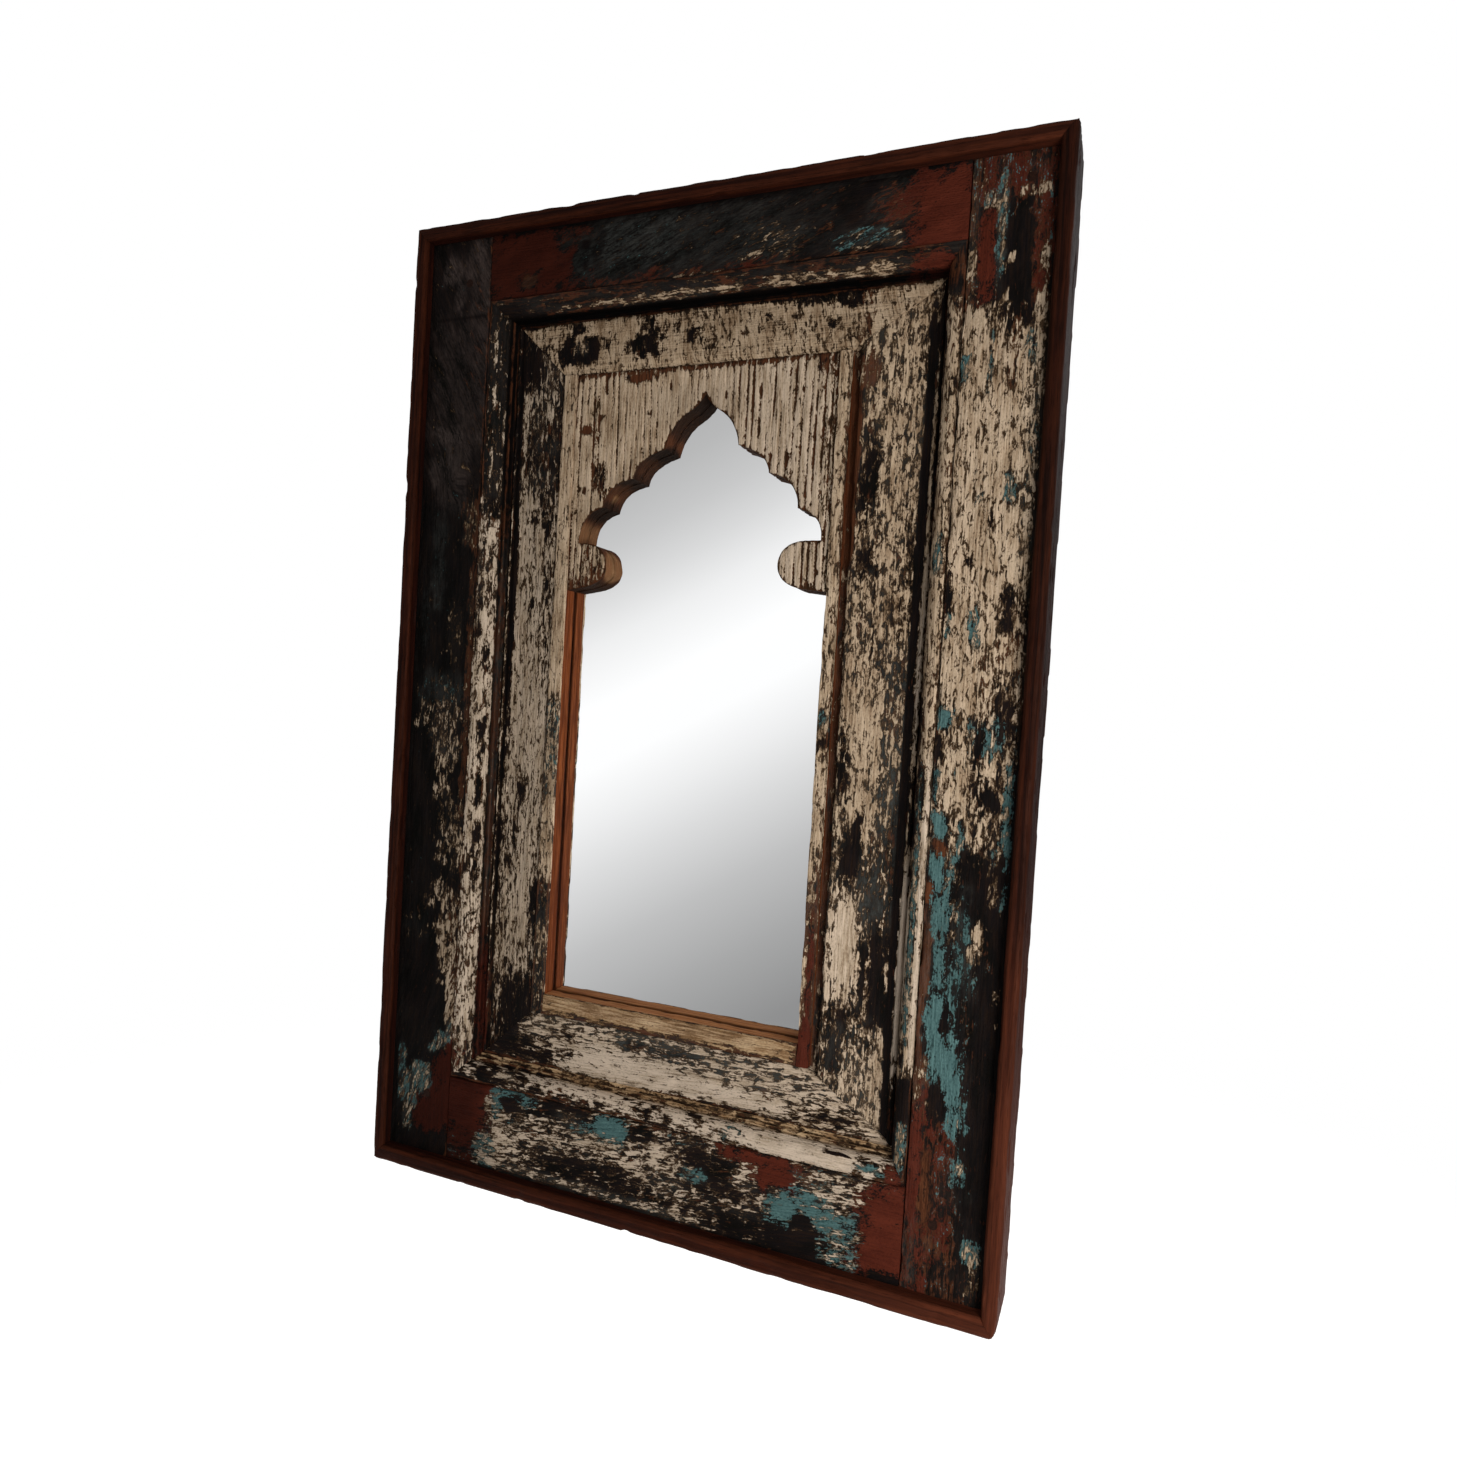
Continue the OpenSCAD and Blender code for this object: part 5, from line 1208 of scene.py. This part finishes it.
            black(190, 158, 850, 175.5, 0.0, rough=0.12, soft=0.15), black(560, 168, 745, 182, 0.12, rough=0.4), black(640, 172, 748, 190, 0.12, rough=0.5), black(700, 178, 748, 198, 0.08, rough=0.5), cream(755, 178, 790, 206, 0.88),
            P(736, 196, 756, 260, raw=0.8, cream=0.4), P(290, 255, 760, 260, raw=0.9, cream=0.2, rough=0.2, soft=0.3),
        ],
    },
    "inner_bottom": {
        "cream": 0.83, "raw": 0.12, "film": 0.9, "age": 0.16,
        "patches": [
            P(300, 1203, 420, 1215, cream=0.6), P(420, 1202, 600, 1240, cream=0.42, film=1.7), P(455, 1218, 480, 1234, cream=0.1, film=0.6),
            P(500, 1218, 600, 1228, cream=0.12, film=1.2), black(332, 1219, 376, 1238, 0.25, rough=0.7), P(340, 1238, 560, 1284, cream=0.95, age=-0.2, film=0.3, rough=0.3),
            P(560, 1200, 700, 1245, cream=0.6, film=1.5), P(660, 1242, 682, 1262, cream=0.1, raw=0.8), P(560, 1250, 700, 1276, cream=0.92, age=-0.1, film=0.5),
            P(700, 1205, 835, 1250, cream=0.64, film=1.3), black(702, 1250, 800, 1288, 0.45), black(740, 1255, 790, 1275, 0.3),
            black(205, 1185, 282, 1292, 0.04, rough=0.6), black(262, 1246, 338, 1286, 0.12), black(250, 1190, 296, 1226, 0.14, rough=0.9), P(285, 1226, 310, 1248, cream=0.5), black(300, 1250, 362, 1262, 0.4),
            P(200, 1280, 300, 1300, cream=0.1, raw=0.5, film=0.3), P(300, 1284, 835, 1300, raw=0.6, cream=0.62, film=0.7, age=1.2, rough=0.25, soft=0.3),
            black(535, 1278, 690, 1290, 0.25), P(300, 1286, 520, 1300, raw=0.8, cream=0.5, age=1.3),
        ],
    },
    "slip_left": {
        "cream": [(0, .90), (720, .92), (736, .45), (860, .55), (900, .85), (985, .8), (1010, .1), (1055, .1), (1090, .5), (1130, .2), (1500, .1)],
        "teal": [(0, 0), (725, 0), (740, .4), (850, .35), (885, .05), (1500, .02)], "raw": 0.1,
        "film": [(0, .4), (720, .4), (740, .9), (870, .8), (1500, .3)],
        "patches": [cream(300, 850, 308, 990, 0.83, rough=0.2)],
    },
    "slip_right": {
        "cream": [(0, .85), (715, .85), (735, .3), (775, .5), (800, .9), (900, .88), (950, .45), (1500, .15)],
        "teal": [(0, 0), (718, 0), (728, .4), (750, .3), (765, 0), (1500, 0)], "raw": [(0, .2), (900, .3), (980, .85), (1500, .85)],
        "film": [(0, .3), (900, .3), (960, .8), (1500, .6)],
        "patches": [cream(710, 1050, 718, 1150, 0.6), black(706, 755, 728, 775, 0.2), P(718, 1000, 728, 1200, raw=0.6, oxide=0.75, cream=0.05, film=0.2),
                    P(702, 1152, 745, 1215, raw=0.4, oxide=0.9, cream=0.0, film=0.1, rough=0.25, soft=0.3),
                    P(729, 250, 748, 575, raw=0.97, cream=0.0, film=0.0, rough=0.25, soft=0.25),
                    P(732.5, 560, 748, 1210, raw=0.95, cream=0.02, film=0.0, rough=0.25, soft=0.25)],
    },
    "slip_bottom": {
        "cream": 0.93, "raw": 0.2, "film": 0.6, "age": 1.1,
        "patches": [P(290, 1197, 740, 1212, cream=0.3, raw=0.6, film=0.6, rough=0.5, soft=0.4), P(290, 1166, 740, 1175, cream=0.45, raw=0.9, rough=0.5),
                    P(300, 1177, 690, 1195, cream=0.97, age=0.9, film=0.5), P(704, 1160, 740, 1212, cream=0.05, raw=0.95, rough=0.3)],
    },
    "arch_panel": {
        "cream": 0.95, "raw": 0.5, "film": 0.04, "age": lambda cx, cy: np.interp(cx, [480, 620], [0.42, 0.22]),
        "patches": [
            # dim patches: painted shade on the arch walls that face down and under the lobes; film patches: painted
            # light on the walls that face up
            P(440, 286, 560, 330, dim=0.86, rough=0.3), P(455, 320, 505, 352, dim=0.76, rough=0.4), P(476, 330, 500, 382, dim=0.72, rough=0.3),
            P(418, 368, 500, 386, dim=0.88, rough=0.3), P(400, 384, 450, 420, dim=0.5, rough=0.3),
            P(372, 404, 446, 420, dim=0.8, rough=0.3), P(384, 436, 404, 462, film=0.8, rough=0.5),
            P(332, 440, 396, 470, dim=0.84, rough=0.4), P(322, 474, 352, 504, film=0.26, rough=0.5),
            P(378, 512, 406, 558, film=0.85, rough=0.4, soft=0.4), P(376, 520, 388, 556, film=0.3, rough=0.5),
            P(310, 556, 384, 576, dim=0.6, rough=0.3),
            bare(400, 258, 440, 272, 0.9), bare(296, 256, 320, 266, 0.8), P(294, 256, 715, 262, raw=0.9, cream=0.4, rough=0.2),
            P(326, 330, 344, 342, raw=0.9, cream=0.1), P(346, 385, 370, 430, cream=0.2, raw=0.3), P(340, 300, 352, 380, cream=0.75),
            bare(680, 258, 712, 280, 0.7), P(690, 258, 716, 500, cream=0.78), P(330, 505, 372, 565, cream=0.7, raw=0.4),
            P(322, 545, 400, 575, cream=0.2, raw=0.9),
        ],
    },
}

# cream patches on the left stile are darkened: painted shade
for row in PLAN["stile_left"]["patches"]:
    if row[4].get("cream", 0) >= 0.28:
        row[4].setdefault("dim", 0.22)
        row[4].setdefault("age", 0.3)
# the last patch paints the step lighter than its paint, to offset the shade it lies in: painted light
PLAN["inner_right"]["patches"] += [
    black(838, 170, 847, 292, 0.15), *(row for row in PLAN["bead_right"]["patches"] if row[0] < 844 and row[2] < 853),
    P(838, 540, 848, 790, cream=0.9, age=0.1), P(838, 940, 849, 1190, cream=0.99, age=-0.9, film=0.0, rough=0.2)]

# ---------------------------------------------------------------------------
# Members
# ---------------------------------------------------------------------------
LIP_OUT = (-HW, HW, 0.0, FH)
LIP_IN = (-HW + STRIP_T, HW - STRIP_T, STRIP_B, FH - STRIP_T)
BOARD_RECT = (X_L, X_R, Z_B, Z_T)
GROOVE = (GX_L, GX_R, GZ_B, GZ_T)
SIGHT = (SX_L, SX_R, SZ_B, SZ_T)


def corner_clamp(x, z):
    """Rounds the worn outer corners of the lipping, seen from the front."""
    for cx, cz, r in ((-1, 0, 9.0), (1, 0, 9.0), (1, 1, 3.8), (-1, 1, 2.4)):
        mx = cx * (HW - r)
        mz = r if cz == 0 else FH - r
        inside = ((x - mx) * cx > 0) & ((z - mz) * (1 if cz else -1) > 0)
        far = np.hypot(x - mx, z - mz)
        scale = np.where(inside & (far > r), r / np.maximum(far, 1e-6), 1.0)
        x = np.where(inside, mx + (x - mx) * scale, x)
        z = np.where(inside, mz + (z - mz) * scale, z)
    return x, z


def lip_relief(u, v, w, d, x, z, share, seed):
    g = fbm(u / 60.0, v / 2.6, seed * 5 + 1, 3)
    low = 0.55 * fbm(u / 70.0, v / 60.0, seed * 5 + 2, 3)
    hit = 0.9 * smooth(0.80, 0.97, vnoise(u / 12.0, v / 7.0, seed * 5 + 3))
    bruise = 1.0 * share * smooth(0.4, 0.85, fbm(u / 16.0, v / 10.0, seed * 5 + 4, 3))
    return 0.22 * smooth(0.5, 0.95, g) + low + hit + bruise


def lip(name, side, t, seed, **plan):
    o = sweep(name, side, LIP_OUT, LIP_IN, t, strip_section(t), lip_relief, plan, seed,
              fine=1.05, coarse=6, along=2.4, gap=0.1, after=corner_clamp)
    o.data.materials.append(M_LIP)
    return o


lip("lipping_left", "l", STRIP_T, 1)
# dim is painted shade at the top of the right strip; film paints the wood paler towards the lower right: painted light
lip("lipping_right", "r", STRIP_T, 2, dim=[(0, 0.3), (700, 0.25), (1000, 0.0)], film=[(0, 0), (900, 0), (1250, 0.22), (1500, 0.3)])
lip("lipping_top", "t", STRIP_T, 3, film=lambda cx, cy: np.interp(cx, [0, 450, 1000], [0.0, 0.0, 0.14]))
lip("lipping_bottom", "b", STRIP_B, 4, film=lambda cx, cy: np.interp(cx, [0, 300, 700, 850, 1000], [0.02, 0.04, 0.08, 0.2, 0.34]))

BOARD_OUT = (-HW + STRIP_T, HW - STRIP_T, STRIP_B, FH - STRIP_T)


def painted(name, *args, **kw):
    o = sweep(name, *args, **kw)
    o.data.materials.append(M_PAINT)
    return o




def slant(u, v):
    """On the left board the grain sweeps down to the right and bends round a knot."""
    bend = 0.53 * np.where(u > 495, u - 495, 0.0)
    knot = 11.0 * np.exp(-((v - 27.0) / 9.0) ** 2 - ((u - 497.0) / 15.0) ** 2)
    low = 0.30 * np.where(u < 150, 150 - u, 0.0)
    return u, v + bend + knot + low


painted("stile_left_worn", "l", BOARD_OUT, (X_L, X_R, STRIP_B, FH - STRIP_T), X_L + HW - STRIP_T,
        board_section(X_L + HW - STRIP_T), worn(), PLAN["stile_left"], 11, ends=(0.9, 0.15), flow=slant)
painted("stile_right_worn", "r", BOARD_OUT, (X_L, X_R, STRIP_B, FH - STRIP_T), HW - STRIP_T - X_R,
        board_section(HW - STRIP_T - X_R), worn(), PLAN["stile_right"], 12, ends=(0.9, 0.15))
painted("rail_top_worn", "t", (X_L, X_R, STRIP_B, FH - STRIP_T), (X_L, X_R, Z_B, Z_T), FH - STRIP_T - Z_T,
        board_section(FH - STRIP_T - Z_T), worn(), PLAN["rail_top"], 13, ends=(0.9, 0.15), turn_by=-22)
painted("rail_bottom_worn", "b", (X_L, X_R, STRIP_B, FH - STRIP_T), (X_L, X_R, Z_B, Z_T), Z_B - STRIP_B,
        board_section(Z_B - STRIP_B), worn(), PLAN["rail_bottom"], 14, ends=(0.9, 0.15), turn_by=9)

for i, (name, side) in enumerate((("left", "l"), ("right", "r"), ("top", "t"), ("bottom", "b"))):
    width = {"l": 16.4, "r": 11.4, "t": 14.2, "b": 16.4}[side]
    painted(f"bead_{name}_worn", side, BOARD_RECT, GROOVE, width, bead_section(width),
            worn(0.22, 0.2, 0.5, 0.7), PLAN[f"bead_{name}"], 21 + i, fine=0.75,
            ends=(0.3, {"l": 0.6, "r": 0.15, "t": 0.8, "b": 0.15}[side]), dirt={"r": 0.15, "b": 0.35}.get(side, 1.0))
    width = {"l": 47.4, "r": 53.4, "t": 41.8, "b": 41.2}[side]
    painted(f"inner_{name}_worn", side, GROOVE, SIGHT, width, inner_section(width, side),
            worn(0.26, 0.3, 0.6, 0.8), PLAN[f"inner_{name}"], 31 + i, fine=0.8,
            ends=({"l": 1.0, "r": 0.6, "t": 1.0, "b": 0.3}[side], 0.12),
            turn_by={"l": 0, "r": 0, "t": 76, "b": 5}[side], dirt={"r": 0.15, "b": 0.3}.get(side, 1.0))

SLIP_RECT = (SX_L, SX_R, SZ_B, SZ_T)


def slip_part(width):
    return lambda w, d: 1 if (w > width - 0.4 and d > D_SLIP + 2.3) or d > D_SLIP + 5 else 0


for name, side, outer, inner, width, seed in (
        ("left", "l", SLIP_RECT, (OX_L, OX_R, SZ_B, SZ_T), SLIP_L, 41),
        ("right", "r", SLIP_RECT, (OX_L, OX_R, SZ_B, SZ_T), SLIP_R, 42),
        ("bottom", "b", (OX_L, OX_R, SZ_B, SZ_T), (OX_L, OX_R, OZ_B, SZ_T), SLIP_B, 43)):
    painted(f"slip_{name}_worn", side, outer, inner, width, slip_section(width), worn(0.2, 0.15, 0.3, 0.35),
            PLAN[f"slip_{name}"], seed, fine=0.7, part=slip_part(width), ends=(0.25, 0.0))
    PIECES[f"slip_{name}_worn"].data.materials.append(M_REVEAL_PAINTED_LIT if side == "b" else M_REVEAL)

ARCH_GROOVES = [-90.5, -86.4, -81.2, -76.0, -72.3, -66.4, -61.9, -57.6, -52.0, -47.1, -43.4, -37.9, -33.2, -28.6,
                -22.3, -18.4, -13.0, -8.8, -3.7, 1.4, 6.6, 10.2, 15.3, 20.8, 25.2, 29.4, 35.1, 38.8, 43.9, 49.2,
                53.4, 58.7, 63.3, 67.2, 72.6, 77.8, 81.4, 86.3, 90.8]


def arch_relief(x, z, rim, seed):
    """Soft wood worn down between hard lines of upright grain."""
    sway = 2.4 * (fbm(z / 120.0, x / 60.0, seed + 5, 2) - 0.5)
    xs = x + sway
    cut = np.zeros(x.shape)
    for i, gx in enumerate(ARCH_GROOVES):
        strength = 0.35 + 0.9 * vnoise(z / 30.0 + i * 7.7, np.full(x.shape, i * 3.1), seed + 9)
        half = 0.50 + 0.45 * vnoise(z / 45.0, np.full(x.shape, i * 5.3), seed + 11)
        cut = np.maximum(cut, strength * np.exp(-((xs - gx) / half) ** 2))
    fine = 0.16 * smooth(0.5, 0.9, fbm(z / 40.0, xs / 1.1, seed + 3, 2))
    low = 0.3 * fbm(z / 60.0, x / 14.0, seed + 4, 2)
    pit = 0.6 * smooth(0.84, 0.98, vnoise(z / 8.0, x / 4.0, seed + 6))
    worn_rim = 0.8 * np.exp(-(rim / 1.3) ** 2) * fbm(z / 7.0, x / 7.0, seed + 8, 2)
    return 0.85 * cut + fine + low + pit + worn_rim


def saw_relief(run, d, seed):
    return (0.28 * fbm(run / 2.6, d / 9.0, seed + 1, 3) + 0.22 * fbm(run / 9.0, d / 5.0, seed + 2, 2)
            + 0.18 * smooth(0.6, 0.9, vnoise(run / 1.4, d / 14.0, seed + 3)))


def arch_edge(x, z):
    return (x > OX_L + 0.05) & (x < OX_R - 0.05) & (z < SZ_T - 0.05)


panel = sawn_board("arch_panel_worn", ARCH_OUTLINE, D_ARCH, D_GLASS - 0.05, arch_relief, saw_relief,
                   PLAN["arch_panel"], 51, 0.55, 2.4, open_edge=arch_edge, under=0.5)
panel.data.materials.append(M_ARCH)
panel.data.materials.append(M_SAWN)

# ---- rear boards ----


def rear_section(width):
    return [(0, D_JOINT, 0.0), (width, D_JOINT, 0.0), (width, D_BACK - 0.9, 0.5), (width - 0.9, D_BACK, 1.0),
            (0.9, D_BACK, 1.0), (0, D_BACK - 0.9, 0.5)]


def rear_relief(u, v, w, d, x, z, share, seed):
    """Saw marks across the grain, open grain and bruised arrises."""
    saw = 0.16 * smooth(0.35, 0.75, vnoise(u / 1.9 + 0.25 * v, v / 60.0, seed + 1))
    g = 0.22 * smooth(0.5, 0.9, fbm(u / 50.0, v / 2.4, seed + 2, 3))
    low = 0.25 * fbm(u / 80.0, v / 30.0, seed + 3, 2)
    chip = 0.9 * share * smooth(0.45, 0.85, fbm(u / 14.0, v / 9.0, seed + 4, 3))
    return saw + g + low + chip


REAR_IN = (OX_L, OX_R, OZ_B, SZ_T)
for i, (name, side, outer, inner, width) in enumerate((
        ("stile_left", "l", BOARD_OUT, (OX_L, OX_R, STRIP_B, FH - STRIP_T), OX_L + HW - STRIP_T),
        ("stile_right", "r", BOARD_OUT, (OX_L, OX_R, STRIP_B, FH - STRIP_T), HW - STRIP_T - OX_R),
        ("rail_top", "t", (OX_L, OX_R, STRIP_B, FH - STRIP_T), REAR_IN, FH - STRIP_T - SZ_T),
        ("rail_bottom", "b", (OX_L, OX_R, STRIP_B, FH - STRIP_T), REAR_IN, OZ_B - STRIP_B))):
    board = sweep(f"rear_{name}_sawn", side, outer, inner, width, rear_section(width), rear_relief, {}, 61 + i,
                  fine=1.6, coarse=14, along=1.6 if side in "tb" else 2.0, ends=(0.8, 0.0))
    board.data.materials.append(M_REAR)

# ---------------------------------------------------------------------------
# Bodies, stage, camera
# ---------------------------------------------------------------------------
STANDS_FOR = {
    "lipping_left": ("edge_strip_left", "lipping"), "lipping_right": ("edge_strip_right", "lipping"),
    "lipping_top": ("edge_strip_top", "lipping"), "lipping_bottom": ("edge_strip_bottom", "lipping"),
    "stile_left_worn": ("stile_left", "painted_board"), "stile_right_worn": ("stile_right", "painted_board"),
    "rail_top_worn": ("rail_top", "painted_board"), "rail_bottom_worn": ("rail_bottom", "painted_board"),
}
for s in ("left", "right", "top", "bottom"):
    STANDS_FOR[f"bead_{s}_worn"] = (f"bead_{s}", "painted_moulding")
    STANDS_FOR[f"inner_{s}_worn"] = (f"inner_{s}", "painted_moulding")
for s in ("left", "right", "bottom"):
    STANDS_FOR[f"slip_{s}_worn"] = (f"slip_{s}", "painted_moulding")
STANDS_FOR["arch_panel_worn"] = ("arch_panel", "painted_arch")
for s in ("stile_left", "stile_right", "rail_top", "rail_bottom"):
    STANDS_FOR[f"rear_{s}_sawn"] = (f"rear_{s}", "rear_wood")
for name, (node, slot) in STANDS_FOR.items():
    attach(PIECES[name], "frame")
    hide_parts(node)

glass = Tree("silvered_glass")
glass_mat = glass.surface((0.93, 0.935, 0.94, 1), 0.0, metallic=1.0)
CARRIED = {"mirror_glass": glass_mat, "glass_packing": M_CARD, "backing_board": M_CARD, "frame_pegs": M_PEG,
           "strip_nails": M_IRON, "backing_pins": M_IRON, "rear_screws": M_STEEL, "hanger_screws": M_STEEL,
           "hanger_plate_left": M_BRASS, "hanger_plate_right": M_BRASS, "hanger_ring_left": M_BRASS,
           "hanger_ring_right": M_BRASS}
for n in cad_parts.values():
    n.data.materials.clear()
    n.data.materials.append(CARRIED.get(n.name, M_REAR))

# floor
floor_mesh = bpy.data.meshes.new("floor")
pts = [(1.5 * math.cos(a * math.pi / 48), 1.5 * math.sin(a * math.pi / 48), -0.30) for a in range(96)]
floor_mesh.from_pydata(pts, [], [list(range(96))])
floor = bpy.data.objects.new("floor", floor_mesh)
scene.collection.objects.link(floor)
floor.visible_diffuse = False
F = Tree("pale_floor")
F.surface((0.9, 0.9, 0.89, 1), 0.9, specular=0.05)
fb = F.nt.nodes["Principled BSDF"]
fb.inputs["Emission Color"].default_value = (1, 1, 1, 1)
fb.inputs["Emission Strength"].default_value = 0.62
fade = F.span(F.math("ABSOLUTE", F.node("ShaderNodeVectorMath", operation="LENGTH").outputs["Value"]), 0.5, 1.45, 1.0, 0.0, ease=True)
reach = [n for n in F.nt.nodes if n.bl_idname == "ShaderNodeVectorMath"][0]
F.nt.links.new(F.object_place(), reach.inputs[0])
clear = F.node("ShaderNodeBsdfTransparent")
over = F.node("ShaderNodeMixShader")
F.nt.links.new(fade, over.inputs[0])
F.nt.links.new(clear.outputs[0], over.inputs[1])
F.nt.links.new(fb.outputs[0], over.inputs[2])
F.nt.links.new(over.outputs[0], F.out.inputs["Surface"])
floor_mesh.materials.append(F.mat)

# world: white to the eye, a soft graded tent for light and for the glass
world = bpy.data.worlds.new("studio")
scene.world = world
world.use_nodes = True
wt = world.node_tree
wt.nodes.clear()
out = wt.nodes.new("ShaderNodeOutputWorld")
coord = wt.nodes.new("ShaderNodeTexCoord")
sep = wt.nodes.new("ShaderNodeSeparateXYZ")
wt.links.new(coord.outputs["Generated"], sep.inputs[0])
tilt = wt.nodes.new("ShaderNodeMath"); tilt.operation = "MULTIPLY_ADD"
wt.links.new(sep.outputs["X"], tilt.inputs[0]); tilt.inputs[1].default_value = -0.65
wt.links.new(sep.outputs["Z"], tilt.inputs[2])
to01 = wt.nodes.new("ShaderNodeMapRange")
wt.links.new(tilt.outputs[0], to01.inputs["Value"])
to01.inputs["From Min"].default_value = -0.2
to01.inputs["From Max"].default_value = 0.8
ramp = wt.nodes.new("ShaderNodeValToRGB")
wt.links.new(to01.outputs["Result"], ramp.inputs[0])
stops = [(0.0, 130), (0.106, 143.5), (0.19, 166.7), (0.273, 190.6), (0.356, 219.6), (0.41, 238), (0.47, 254),
         (0.535, 255), (0.60, 239), (0.648, 217), (0.69, 199.4), (0.74, 184), (0.9, 150)]
els = ramp.color_ramp.elements
while len(els) < len(stops):
    els.new(0.5)
for e, (p, v) in zip(els, stops):
    e.position = p
    c = lin(v, v, v)[0] / 0.93
    e.color = (c, c, c, 1)
tent = wt.nodes.new("ShaderNodeBackground")
wt.links.new(ramp.outputs[0], tent.inputs["Color"])
tent.inputs["Strength"].default_value = 1.0
plain = wt.nodes.new("ShaderNodeBackground")
plain.inputs["Color"].default_value = (1, 1, 1, 1)
path = wt.nodes.new("ShaderNodeLightPath")
mixer = wt.nodes.new("ShaderNodeMixShader")
dim = wt.nodes.new("ShaderNodeMixShader")
low = wt.nodes.new("ShaderNodeBackground")
low.inputs["Color"].default_value = (1.0, 0.97, 0.93, 1)
sky = wt.nodes.new("ShaderNodeMapRange")
wt.links.new(sep.outputs["Z"], sky.inputs["Value"])
sky.inputs["From Min"].default_value = -0.5
sky.inputs["From Max"].default_value = 0.9
sky.inputs["To Min"].default_value = 0.26
sky.inputs["To Max"].default_value = 0.26
wt.links.new(sky.outputs["Result"], low.inputs["Strength"])
wt.links.new(path.outputs["Is Diffuse Ray"], dim.inputs[0])
wt.links.new(tent.outputs[0], dim.inputs[1])
wt.links.new(low.outputs[0], dim.inputs[2])
wt.links.new(path.outputs["Is Camera Ray"], mixer.inputs[0])
wt.links.new(dim.outputs[0], mixer.inputs[1])
wt.links.new(plain.outputs[0], mixer.inputs[2])
wt.links.new(mixer.outputs[0], out.inputs["Surface"])


def area(name, place, aim, size, watts, color=(1, 1, 1)):
    data = bpy.data.lights.new(name, "AREA")
    data.shape = "SQUARE"
    data.size = size
    data.energy = watts
    data.color = color
    o = bpy.data.objects.new(name, data)
    o.location = place
    o.rotation_euler = (Vector(aim) - Vector(place)).to_track_quat("-Z", "Y").to_euler()
    o.visible_camera = False
    scene.collection.objects.link(o)
    return o


area("key", (0.70, -0.60, 0.16), (0.04, 0, 0.28), 0.4, 6.0, (1.0, 0.95, 0.88))
area("behind", (-0.6, 1.5, 1.2), (0, 0, 0.35), 1.0, 16)

scene.view_settings.view_transform = "Standard"
scene.view_settings.look = "None"

cam_data = bpy.data.cameras.new("camera")
cam = bpy.data.objects.new("camera", cam_data)
scene.collection.objects.link(cam)
right = Vector((0.923931, 0.37775, 0.060476))
down = Vector((0.067657, -0.005756, -0.997692))
ahead = Vector((-0.37653, 0.92589, -0.030876))
m = Matrix.Identity(4)
for r in range(3):
    m[r][0], m[r][1], m[r][2] = right[r], -down[r], -ahead[r]
m[0][3], m[1][3], m[2][3] = 0.2752, -0.5861, 0.3435
cam.matrix_world = m
cam_data.sensor_width = 36.0
cam_data.lens = 23.527
cam_data.shift_x, cam_data.shift_y = -0.01399, 0.01006
cam_data.clip_start, cam_data.clip_end = 0.01, 100.0
scene.camera = cam
